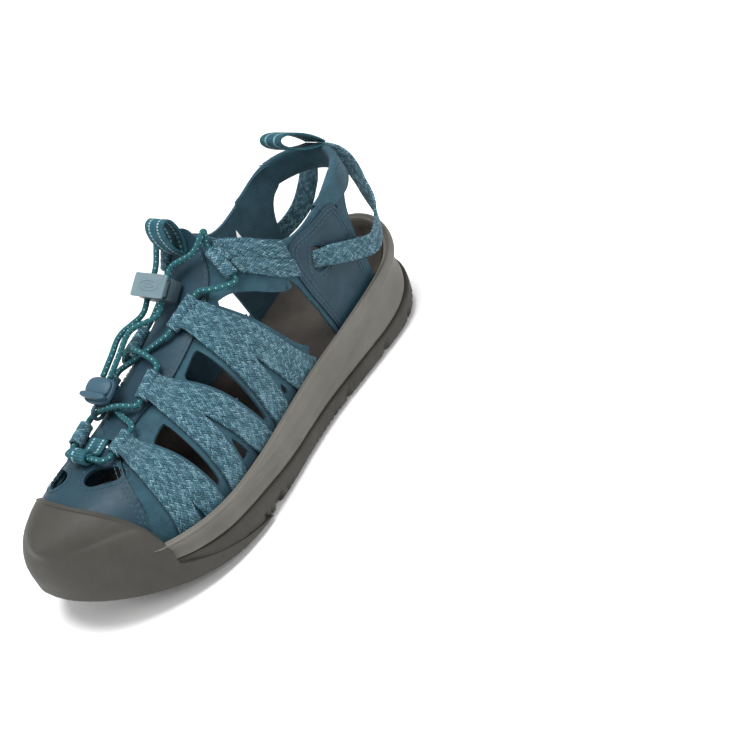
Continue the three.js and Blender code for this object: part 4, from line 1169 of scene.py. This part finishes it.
# %% Quarter lining and overlay
FOOT_EDGE = 20
QUARTER_LINING = corner_cut([(40, 80), (40, 95), (44, 97), (50, 95), (58, 91.8), (66, 91), (76, 92), (86, 94),
                             (96, 97.5), (106, 99.5), (112, 99), (112, 86), (104, 82), (98.5, 70), (97, 56), (97, FOOT_EDGE),
                             (56, FOOT_EDGE), (55.5, 32), (52.5, 47), (49, 62), (46, 75)])
QUARTER_OVERLAY = corner_cut([(49.6, 73), (50, 82), (52.5, 89), (58, 90.6), (70, 89.6), (80, 89.6), (90, 90.2), (95.5, 86.5),
                              (95.5, 73), (93, 56), (92, FOOT_EDGE), (59, FOOT_EDGE), (58, 33), (55, 46), (51.5, 60)])
SLOT_Y, SLOT_Z, SLOT_LONG, SLOT_TALL = 67, 72.5, 9, 6.8


def slot_distance(y, z):
    """A drop: round in front of the webbing, drawn to a point above and behind."""
    dy, dz = (y - SLOT_Y), (z - SLOT_Z)
    point_side = 1 - 0.35 * clamp(dz / SLOT_TALL, -1, 1)
    return (1 - math.hypot(dy / (SLOT_LONG * 0.62 * point_side), dz / SLOT_TALL)) * SLOT_LONG * 0.6


lining_edge, overlay_edge = polygon_distance(QUARTER_LINING), polygon_distance(QUARTER_OVERLAY)
quarter_lining_distance = lambda y, z: min(lining_edge(y, z), -slot_distance(y, z))
quarter_overlay_distance = lambda y, z: min(overlay_edge(y, z), -slot_distance(y, z) - 0.5)
for side_name, side in SIDES.items():
    wall = lambda lift, side=side: (lambda y, z: on_side(y, z, side, lift))
    lining = cut_cloth(f"quarter_neoprene_{side_name}", quarter_lining_distance, ((39, 113), (FOOT_EDGE, 108)), 1.6,
                       wall(LINING_LOW), LINING)
    settle(lining, neoprene, replaces=[f"quarter_lining_{side_name}"])
    overlay = cut_cloth(f"quarter_overlay_skin_{side_name}", quarter_overlay_distance, ((48, 97), (FOOT_EDGE, 92)), 1.4,
                        wall(LINING_LOW + LINING - 0.1), OVERLAY)
    settle(overlay, coated_synthetic, replaces=[f"quarter_overlay_{side_name}"])
    top_of_overlay = LINING_LOW + LINING + OVERLAY + 0.02
    for inset in (2.2, 4.3):
        row = inside_row(QUARTER_OVERLAY, overlay_edge, inset)
        split = [p for p in row if p.y > 30 and not (p.y < 40 and p.x > 60)]
        start = max(range(len(split)), key=lambda i: (split[i] - split[i - 1]).length)
        stitch([on_side(p.x, p.y, side, top_of_overlay) for p in split[start:] + split[:start]])
    ring = []
    for k in range(49):
        turn = k / 24 * math.pi
        reach = 3.0
        ray = Vector((math.cos(turn), math.sin(turn)))
        while slot_distance(SLOT_Y + ray.x * reach, SLOT_Z + ray.y * reach) > -2.6 and reach < 20:
            reach += 0.2
        ring.append(on_side(SLOT_Y + ray.x * reach, SLOT_Z + ray.y * reach, side, top_of_overlay))
    stitch(ring)
    collar_row = [p for p in inside_row(QUARTER_LINING, lining_edge, 2.0) if p.y > 88 and p.x > 56]
    stitch([on_side(p.x, p.y, side, LINING_LOW + LINING + 0.1) for p in sorted(collar_row, key=lambda p: p.x)])
    link_stitches(f"quarter_stitching_{side_name}")

# %% [markdown]
# ### Ankle bands
# Two rows of webbing run side by side from the lace sleeve, over the lining's front corner, and under
# the quarter overlay.

# %% Ankle bands
ANKLE_BAND = [[23, 96, 110], [27, 93, 112], [31, 89.5, 111.5], [36, 84.5, 108.5], [42, 79, 103.5], [52, 72, 95.5]]
ANKLE_TUNNEL = [(19.5, 97.5), (22.5, 110)]
band_columns = np.array(ANKLE_BAND, float)


def ankle_ends(side):
    return [on_side(y, z, side, TUNNEL_LIFT) for y, z in ANKLE_TUNNEL]


for side_name, side in SIDES.items():
    pieces = [sleeve_piece("sleeve", ankle_ends(side), TUNNEL_INSIDE, SLEEVE)]
    for row in (0, 1):

        def band_place(u, v, row=row, side=side):
            k = mix(0.0, len(ANKLE_BAND) - 1, v)
            y, low, high = (float(np.interp(k, range(len(ANKLE_BAND)), band_columns[:, c])) for c in range(3))
            share = (row + mix(0.035, 0.965, u)) / 2
            rise = 1.2 * smooth(35 - y, 0, 8)
            puff = 0.45 * math.cos((u - 0.5) * math.pi)
            under = 0.5 * smooth(y, 46, 50)
            lift = mix(TUNNEL_LIFT + 0.3, OVER_LINING - 0.6 + rise + puff - under, smooth(v, 0, 0.2))
            return on_side(y, mix(low, high, share), side, lift)

        pieces.append(web_strip("row", band_place, 12.5, 33, across=10, along=30))
    band = join_pieces(f"ankle_webbing_{side_name}", pieces)
    settle(band, woven_webbing, replaces=[f"ankle_band_{side_name}"])

# %% [markdown]
# ### Heel band and heel webbing
# The padded heel band is foam under knit: a closed cushion with a rounded section, which thins towards
# the quarters so that it runs into them.

# %% Heel band
BAND_HALF, BAND_LOW, BAND_HIGH = 57, 84.5, 100.5
COLLAR_PAD = 4.6


def heel_band_place(u, v):
    around = mix(-BAND_HALF, BAND_HALF, v)
    turn = 2 * math.pi * u
    full = 1 - smooth(abs(around), 36, BAND_HALF)
    sag = 1.5 * (1 - abs(around) / BAND_HALF)
    c, s = math.cos(turn), math.sin(turn)
    up = math.copysign(abs(c) ** 0.55, c)
    out = math.copysign(abs(s) ** 0.6, s)
    thick = mix(1.9, COLLAR_PAD, full)
    low = BAND_LOW + 1.5 * smooth(abs(around), 26, BAND_HALF)
    high = BAND_HIGH - 5.2 * smooth(abs(around), 24, BAND_HALF)
    middle, half = mix(low, high, 0.5) + sag * 0.8, (high - low) / 2
    half = mix(half - 0.4, half, full)
    if abs(up) > 0.999 and abs(out) < 1e-6:
        out = 0.0
    return on_heel(around, middle + half * up, LINING_LOW + thick * (0.5 + 0.5 * out))


heel_band = link(bend_grid(40, 110, heel_band_place, flat=lambda u, v: (u * 44, v * 2 * BAND_HALF)), "heel_band_cushion")
modifier(heel_band, "SUBSURF", levels=1, render_levels=1)
settle(heel_band, neoprene, replaces=["heel_band"])
for z in (BAND_LOW + 2.6, BAND_HIGH - 1.4):
    stitch([on_heel(around, z + 1.2 * (1 - abs(around) / BAND_HALF), LINING_LOW + 4.55 - 0.4 * (abs(around) > 34))
            for around in np.linspace(-36, 36, 60)])
link_stitches("heel_band_stitching")


# %% Smooth paths
def catmull_path(points, count):
    """Centripetal Catmull-Rom through the points, in even steps."""
    points = [Vector(p) for p in points]
    dense = []
    for i in range(len(points) - 1):
        p1, p2 = points[i], points[i + 1]
        p0 = points[i - 1] if i else p1 * 2 - p2
        p3 = points[i + 2] if i + 2 < len(points) else p2 * 2 - p1
        d0, d1, d2 = (max((b - a).length ** 0.5, 1e-4) for a, b in ((p0, p1), (p1, p2), (p2, p3)))
        t1 = ((p1 - p0) / d0 - (p2 - p0) / (d0 + d1) + (p2 - p1) / d1) * d1
        t2 = ((p2 - p1) / d1 - (p3 - p1) / (d1 + d2) + (p3 - p2) / d2) * d1
        for k in range(24):
            t = k / 24
            dense.append(p1 * (2 * t ** 3 - 3 * t * t + 1) + t1 * (t ** 3 - 2 * t * t + t)
                         + p2 * (3 * t * t - 2 * t ** 3) + t2 * (t ** 3 - t * t))
    dense.append(points[-1])
    lengths = [0.0]
    for a, b in zip(dense, dense[1:]):
        lengths.append(lengths[-1] + (b - a).length)
    table = np.array([tuple(p) for p in dense])
    even_steps = np.linspace(0, lengths[-1], count + 1)
    rows = np.array([np.interp(even_steps, lengths, table[:, k]) for k in range(3)]).T
    return [Vector(row) for row in rows], lengths[-1]


def ribbon_piece(name, points, width, thickness, along, across_at, across=8):
    path, length = catmull_path(points, along)

    def place(u, v):
        k = round(v * along)
        direction = (path[min(k + 1, along)] - path[max(k - 1, 0)]).normalized()
        sideways = across_at(v)
        sideways = (sideways - direction * sideways.dot(direction)).normalized()
        return path[k] + sideways * (u - 0.5) * width

    piece = link(bend_grid(across, along, place, flat=lambda u, v: ((u - 0.5) * width, v * length)), name)
    modifier(piece, "SOLIDIFY", thickness=thickness * MM, offset=0, use_even_offset=False, use_rim=True)
    modifier(piece, "BEVEL", width=thickness * 0.3 * MM, segments=2, limit_method="ANGLE",
             angle_limit=math.radians(50), profile=0.5, material=-1)
    return piece


HEEL_WEB_LIFT = 0.3 + COLLAR_PAD + 0.3 + WEBBING / 2
HEEL_WEB_WIDTH = 11


def heel_web_half(side):
    return [on_side(SLOT_Y - 3, SLOT_Z, side, 1.0), on_side(SLOT_Y + 4, SLOT_Z - 1.5, side, 5.6),
            on_side(86, 63, side, 7.5), on_side(103, 56, side, 8.5), Vector((side * 27, 118, 62)),
            Vector((side * 19, 124.5, 76)), on_heel(side * 12, 90, HEEL_WEB_LIFT + 2.2)]


def heel_web_across(v):
    turn = smooth(abs(v - 0.5), 0.16, 0.34)
    side = 1 if v < 0.5 else -1
    return Vector((0, -0.22, 1)).lerp(Vector((side * 0.6, 1, 0.2)), 0.25 * (1 - turn))


heel_web = ribbon_piece("heel_webbing_loop", heel_web_half(1) + [on_heel(0, 93, HEEL_WEB_LIFT + 1.4)]
                        + heel_web_half(-1)[::-1], HEEL_WEB_WIDTH, WEBBING, 150, heel_web_across)
settle(heel_web, woven_webbing, replaces=["heel_webbing"])

# %% [markdown]
# ## Pull loops and the toe tape
# The loops are striped tape bent into a drop, with both ends sewn in at the root. The one at the toe is
# folded round the lace.

# %% Tape loops
TAPE = 1.5


def bezier(a, b, c, d, t):
    s = 1 - t
    return a * s ** 3 + b * 3 * s * s * t + c * 3 * s * t * t + d * t ** 3


def tape_loop(name, root, tilt, length, belly, width, body, node_name):
    high = length - TAPE / 2
    side_curve = [Vector(p) for p in ((0.6, -2.0), (belly * 0.7 - 0.7, length * 0.36), (belly * 0.6 - 0.7, high), (0, high))]

    def place(u, v):
        t = 1 - abs(2 * v - 1)
        y, z = bezier(*side_curve, t)
        y = y if v < 0.5 else -y
        point = Matrix.Rotation(tilt, 3, "X") @ Vector(((u - 0.5) * (width - 0.6), y, z))
        return root + point

    piece = link(bend_grid(10, 80, place, flat=lambda u, v: ((u - 0.5) * width, v * 2.2 * length)), name)
    modifier(piece, "SOLIDIFY", thickness=(TAPE - 0.2) * MM, offset=0, use_even_offset=False, use_rim=True)
    modifier(piece, "BEVEL", width=0.4 * MM, segments=2, limit_method="ANGLE", angle_limit=math.radians(50),
             profile=0.5, material=-1)
    settle(piece, woven_tape, body, replaces=[node_name])
    return piece


heel_root = on_heel(0, 100, 0.3 + COLLAR_PAD / 2)
heel_root.z = 102.8
tape_loop("heel_tape_loop", heel_root, math.radians(54), 33, 9, 15, "heel_loop", "heel_pull_loop")
tongue_root = on_form(19, -0.6, OVER_LINING + TONGUE + 0.3 + 3.2)
tape_loop("tongue_tape_loop", tongue_root, math.radians(8), 20, 10, 13, "tongue_loop", "tongue_pull_loop")

TOE_TAPE_LIFT = OVER_LINING + OVERLAY + 1.2 + TAPE + LACE / 2
toe_centre = on_form(-83, -4, TOE_TAPE_LIFT)
half_tape = Vector((5.5, 0, 0))
toe_sleeve = sleeve_piece("toe_sleeve", (toe_centre - half_tape, toe_centre + half_tape), TUNNEL_INSIDE, TAPE)


def toe_tail_place(u, v):
    y = mix(-84, VAMP_TOP - 3, v)
    lift = mix(TOE_TAPE_LIFT + 1.0, OVER_LINING + OVERLAY - 0.3, smooth(v, 0, 0.5))
    return on_form(y, -4 + (u - 0.5) * 10.6, lift)


toe_tape = join_pieces("toe_tape_fold", [toe_sleeve, web_strip("tail", toe_tail_place, 11, 16, 8, 24, TAPE)])
settle(toe_tape, woven_tape, replaces=["toe_tape"])

# %% [markdown]
# ## Cord lock
# A body that the two cords pass through, and a button plate with a raised border and a plain oval. The
# plate is pushed towards the body against a spring. Both are moulded, so every edge is rounded.

# %% Cord lock
LOCK_TILT = math.radians(34)
LOCK_WIDTH, LOCK_LENGTH, LOCK_HEIGHT, LOCK_PLATE, LOCK_TRAVEL = 22, 12, 8, 2.2, 2.5
CORD_OFFSET = 5.2
CORD_HEIGHT = 1.4 + LOCK_TRAVEL + LACE / 2 + 0.6
lock_foot = on_form(3.5, -2.5, OVER_LINING + TONGUE + 0.3 + 1.6)
lock_turn = Matrix.Rotation(LOCK_TILT, 3, "X")
in_lock = lambda x, y, z: lock_foot + lock_turn @ Vector((x, y, z))


def box_mesh(bm, low, high):
    low, high = Vector(low), Vector(high)
    size = high - low
    matrix = Matrix.Translation((low + high) / 2) @ Matrix.Diagonal((size.x, size.y, size.z, 1))
    return bmesh.ops.create_cube(bm, size=1, matrix=matrix)["verts"]


def finish_moulded(bm, name, place, width, segments=3):
    bmesh.ops.recalc_face_normals(bm, faces=bm.faces[:])
    for vert in bm.verts:
        vert.co = place(*vert.co) * MM
    piece = link(bm, name)
    modifier(piece, "BEVEL", width=width * MM, segments=segments, limit_method="ANGLE",
             angle_limit=math.radians(40), profile=0.5, material=-1)
    return piece


bm = bmesh.new()
box_mesh(bm, (-LOCK_WIDTH / 2 + 1, -LOCK_LENGTH / 2 + 0.5, 0), (LOCK_WIDTH / 2 - 1, LOCK_LENGTH / 2 - 0.5, LOCK_HEIGHT))
top = max(bm.faces, key=lambda f: f.calc_center_median().z)
bmesh.ops.inset_individual(bm, faces=[top], thickness=1.4)
bmesh.ops.translate(bm, verts=top.verts[:], vec=(0, 0, -1.2))
lock_body = finish_moulded(bm, "cord_lock_shell", in_lock, 0.8)
settle(lock_body, lock_dark, "cord_lock", replaces=["cord_lock_body"])


def ring_bead(centre_x, half_x, half_y, z, radius, power, place, name, count=72):
    """A raised bead along a rounded-rectangle or oval line."""
    bm = bmesh.new()
    bmesh.ops.create_grid(bm, x_segments=count, y_segments=8, size=0.5)
    for vert in bm.verts:
        turn, round_turn = 2 * math.pi * (vert.co.x + 0.5), 2 * math.pi * (vert.co.y + 0.5)
        c, s = math.cos(turn), math.sin(turn)
        x = math.copysign(abs(c) ** (2 / power), c)
        y = math.copysign(abs(s) ** (2 / power), s)
        out = 1 + 0
        vert.co = place(centre_x + x * (half_x + radius * math.cos(round_turn)) * out,
                        y * (half_y + radius * math.cos(round_turn)) * out, z + radius * math.sin(round_turn)) * MM
    bmesh.ops.remove_doubles(bm, verts=bm.verts[:], dist=0.01 * MM)
    return link(bm, name)


PLATE_LOW = LOCK_HEIGHT + 0.3 + LOCK_TRAVEL
bm = bmesh.new()
hx, hy = LOCK_WIDTH / 2 - 1 - 1.7, LOCK_LENGTH / 2 - 0.5 - 1.7
box_mesh(bm, (-hx, -hy, LOCK_HEIGHT - 3), (hx, hy, PLATE_LOW + 0.5))
plate_verts = box_mesh(bm, (-LOCK_WIDTH / 2, -LOCK_LENGTH / 2, PLATE_LOW), (LOCK_WIDTH / 2, LOCK_LENGTH / 2, PLATE_LOW + LOCK_PLATE))
top = max(bm.faces, key=lambda f: f.calc_center_median().z)
bmesh.ops.inset_individual(bm, faces=[top], thickness=1.7)
bmesh.ops.translate(bm, verts=top.verts[:], vec=(0, 0, -0.7))
lock_plate = finish_moulded(bm, "plate", in_lock, 0.75)
plate_top = PLATE_LOW + LOCK_PLATE - 0.75
oval = ring_bead(0, 6.2, 2.5, plate_top, 0.42, 2.2, in_lock, "oval")
inner_oval = ring_bead(0, 3.6, 0.9, plate_top, 0.36, 2.0, in_lock, "inner")
lock_button = join_pieces("cord_lock_button_plate", [lock_plate, oval, inner_oval])
settle(lock_button, lock_plastic, "cord_lock_button", replaces=["cord_lock_plunger"])
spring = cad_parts["cord_lock_spring"]
spring.data.materials.clear()
spring.data.materials.append(spring_steel)

# %% [markdown]
# ## End hook
# Soft rubber over a base: a rounded shell with a raised lip across it, which clips the lace's ends to the
# cords below.

# %% End hook
HOOK_WIDTH, HOOK_LENGTH, HOOK_BASE, HOOK_COVER = 18, 14, 3, 2.2
EYE = (-58.5, -9, 9)
EYE_IN_HOOK = Vector((0, -2.2, -2.6))
eye_centre = on_form(*EYE)
hook_along = on_form(-40, EYE[1], 14) - on_form(EYE[0], EYE[1], 12)
hook_along.x = 0
hook_along.normalize()
hook_side = Vector((1, 0, 0))
hook_up = hook_side.cross(hook_along)
hook_basis = Matrix((hook_side, hook_along, hook_up)).transposed()
hook_origin = eye_centre - hook_basis @ EYE_IN_HOOK
in_hook = lambda x, y, z: hook_origin + hook_basis @ Vector((x, y, z))


def dome_plate(name, width, length, low, high, crown, power=3.4, y_start=0.0, count=40):
    """A plate with rounded corners and a crowned top."""

    def place(u, v):
        turn = 2 * math.pi * u
        c, s = math.cos(turn), math.sin(turn)
        x = math.copysign(abs(c) ** (2 / power), c) * width / 2
        y = math.copysign(abs(s) ** (2 / power), s) * length / 2
        if v < 0.25:
            reach, z = v / 0.25 * 0.94, low
        elif v < 0.55:
            bend = (v - 0.25) / 0.3 * math.pi
            reach = 0.94 + 0.06 * math.sin(bend)
            z = mix(low, high, 0.5 - 0.5 * math.cos(bend))
        else:
            t = (v - 0.55) / 0.45
            reach = 0.94 * (1 - t)
            z = high + crown * (1 - reach ** 2 * 1.13)
        return in_hook(x * reach, y_start + length / 2 + y * reach, z)

    return link(bend_grid(count * 2, 36, place), name)


hook_plate = dome_plate("plate", HOOK_WIDTH, HOOK_LENGTH, 0, HOOK_BASE - 0.2, 0.2)
eye_ring = ring_bead(0, 3.4, 3.4, 0, 1.0, 2.0, lambda x, y, z: in_hook(EYE_IN_HOOK.x + z, EYE_IN_HOOK.y + x, EYE_IN_HOOK.z + y),
                     "eye", 40)
hook_base = join_pieces("end_hook_base_plate", [hook_plate, eye_ring])
settle(hook_base, hook_rubber, "end_hook", replaces=["end_hook_base"])
shell = dome_plate("shell", HOOK_WIDTH - 1.5, HOOK_LENGTH - 4.2, HOOK_BASE - 0.4, HOOK_BASE + 1.4, 1.6, 2.8, 3.4)
bar = dome_plate("bar", HOOK_WIDTH - 0.6, 3.2, HOOK_BASE - 0.2, HOOK_BASE + 3.0, 0.7, 3.6, 1.6)
hook_cover = join_pieces("end_hook_cover_shell", [shell, bar])
settle(hook_cover, hook_rubber, "end_hook", replaces=["end_hook_cover"])

# %% [markdown]
# ## Lace
# Each half of the lace runs from the toe tape through the sleeves, up to the ankle, back down through the
# lock and to the hook. The points are the ones that the CAD lace follows.

# %% Lace
placed = lambda point: on_form(*point)
towards = lambda a, b, distance: a + (b - a).normalized() * distance
OUTSIDE = 3.2


def straight_through(start, end):
    return [towards(start, end, -OUTSIDE), start, end, towards(end, start, -OUTSIDE)]


def strap_run(side, k):
    return straight_through(*tunnel_ends(side, STRAPS[side][k]))


def tail_end(x):
    return [in_hook(x, HOOK_LENGTH + 12, 2), in_hook(x, HOOK_LENGTH + 5, 1.7), in_hook(x, HOOK_LENGTH + 0.3, HOOK_BASE / 2)]


def through_lock(x):
    return [in_lock(x, y, CORD_HEIGHT + rise) for y, rise in LOCK_RUN]


LOCK_RUN = ((11, 0.3), (5, 0), (-5, 0), (-13, 0))
LACES = {
    "lateral": [placed(p) for p in ((-83, -3.8, TOE_TAPE_LIFT), (-83, 3.5, TOE_TAPE_LIFT), (-82.6, 8, TOE_TAPE_LIFT))]
    + strap_run(1, 0) + [placed(p) for p in ((-57, 3, 6), (-53, -6, 6.2))] + strap_run(-1, 1)
    + [placed(p) for p in ((-30, -9, 6.1), (-21.5, 1, 6))] + strap_run(1, 2) + [placed((10, 23, 9))]
    + straight_through(*ankle_ends(1)) + [placed(p) for p in ((25, 14.5, 13), (17, 11, 12.5))]
    + through_lock(CORD_OFFSET) + [placed((-22, -5, 16))] + tail_end(2.6),
    "medial": [placed(p) for p in ((-83, -4.2, TOE_TAPE_LIFT), (-83, -11.5, TOE_TAPE_LIFT), (-82.2, -14, TOE_TAPE_LIFT))]
    + strap_run(-1, 0) + [placed(EYE), placed((-55, 1, 9.9))] + strap_run(1, 1)
    + [placed(p) for p in ((-28.5, 3, 9.6), (-26.5, -8, 10.2))] + strap_run(-1, 2) + [placed((7, -22, 9))]
    + straight_through(*ankle_ends(-1)) + [placed(p) for p in ((27, -12, 15.5), (20.5, -9.5, 15))]
    + through_lock(-CORD_OFFSET) + [placed((-22, -12, 16))] + tail_end(-2.6),
}


def tube(name, points, radius, along, around=14):
    path, length = catmull_path(points, along)
    for _ in range(14):
        path[1:-1] = [(a + b * 2 + c) / 4 for a, b, c in zip(path, path[1:], path[2:])]
    frames = []
    side = Vector((1, 0, 0))
    for k in range(along + 1):
        direction = (path[min(k + 1, along)] - path[max(k - 1, 0)]).normalized()
        side = (side - direction * side.dot(direction)).normalized()
        frames.append((side.copy(), direction.cross(side)))

    def place(u, v):
        k = round(v * along)
        first, second = frames[k]
        turn = 2 * math.pi * u
        return path[k] + (first * math.cos(turn) + second * math.sin(turn)) * radius

    piece = link(bend_grid(around, along, place, flat=lambda u, v: (u * 2 * math.pi * radius, v * length)), name)
    return piece, path, length


for name, points in LACES.items():
    lace, path, length = tube(f"lace_braid_{name}", points, LACE / 2, 620)
    settle(lace, braided_lace, replaces=[f"lace_{name}"])
    print(name, "lace", round(length), "mm")

# %% [markdown]
# ## Size label
# A small woven label in one plain light grey is sewn under the front of the ankle webbing.

# %% Size label
label_cloth, _, label_shader = new_material("woven label", 0.75)
label_shader.inputs["Base Color"].default_value = linear("#cfd2cf")
label = web_strip("size_label_tab", lambda u, v: on_form(mix(30, 38, u), mix(38, 50, v), -1.6), 8, 12, 4, 6, 0.5)
settle(label, label_cloth, replaces=["size_label"])

# %% [markdown]
# ## The floor
# The sandal stands on a plain white sweep.

# %% Floor
paper, _, paper_shader = new_material("white paper sweep", 0.6)
paper_shader.inputs["Base Color"].default_value = linear("#fbfbfb")
bm = bmesh.new()
bmesh.ops.create_grid(bm, x_segments=1, y_segments=1, size=4)
floor = link(bm, "white_sweep", shade=False)
floor.data.materials.append(paper)

# %% [markdown]
# ## Light
# One large soft light from above and a little behind the camera's left, a weaker one from the right, and
# a bright plain surround, as in a shop's light tent.


# %% Lights and world
def soft_light(name, place, target, size, power, colour="#ffffff"):
    light = bpy.data.lights.new(name, "AREA")
    light.shape = "DISK"
    light.size = size
    light.energy = power
    light.color = linear(colour)[:3]
    holder = bpy.data.objects.new(name, light)
    bpy.context.collection.objects.link(holder)
    holder.location = place
    holder.rotation_euler = (Vector(target) - Vector(place)).to_track_quat("-Z", "Y").to_euler()
    return holder


TARGET = Vector((75.07, 26.55, 40)) * MM
lights = [soft_light("overhead", (0.05, -0.1, 1.3), (0, 0, 0), 0.8, 21),
          soft_light("left_fill", (-0.7, -1.0, 0.7), (0, 0, 0.05), 0.6, 5),
          soft_light("right_fill", (1.2, 0.2, 0.8), (0, 0, 0.05), 0.6, 6)]
world = bpy.data.worlds.new("white surround")
bpy.context.scene.world = world
world.use_nodes = True
world.node_tree.nodes["Background"].inputs[0].default_value = linear("#ffffff")
world.node_tree.nodes["Background"].inputs[1].default_value = 0.55

# %% Camera
azimuth, elevation, roll, distance = math.radians(49.88), math.radians(34.04), math.radians(-25.35), 0.72206
back = Vector((math.sin(azimuth) * math.cos(elevation), -math.cos(azimuth) * math.cos(elevation), math.sin(elevation)))
right = Vector((math.cos(azimuth), math.sin(azimuth), 0))
up = back.cross(right)
camera_x = right * math.cos(roll) + up * math.sin(roll)
camera_y = -right * math.sin(roll) + up * math.cos(roll)
camera_data = bpy.data.cameras.new("camera")
camera_data.lens = 73.47
camera_data.sensor_width = 36
camera = bpy.data.objects.new("camera", camera_data)
bpy.context.collection.objects.link(camera)
turn = Matrix((camera_x, camera_y, back)).transposed().to_4x4()
camera.matrix_world = Matrix.Translation(TARGET + back * distance) @ turn
bpy.context.scene.camera = camera
bpy.context.scene.view_settings.view_transform = "Standard"
bpy.context.scene.view_settings.look = "None"
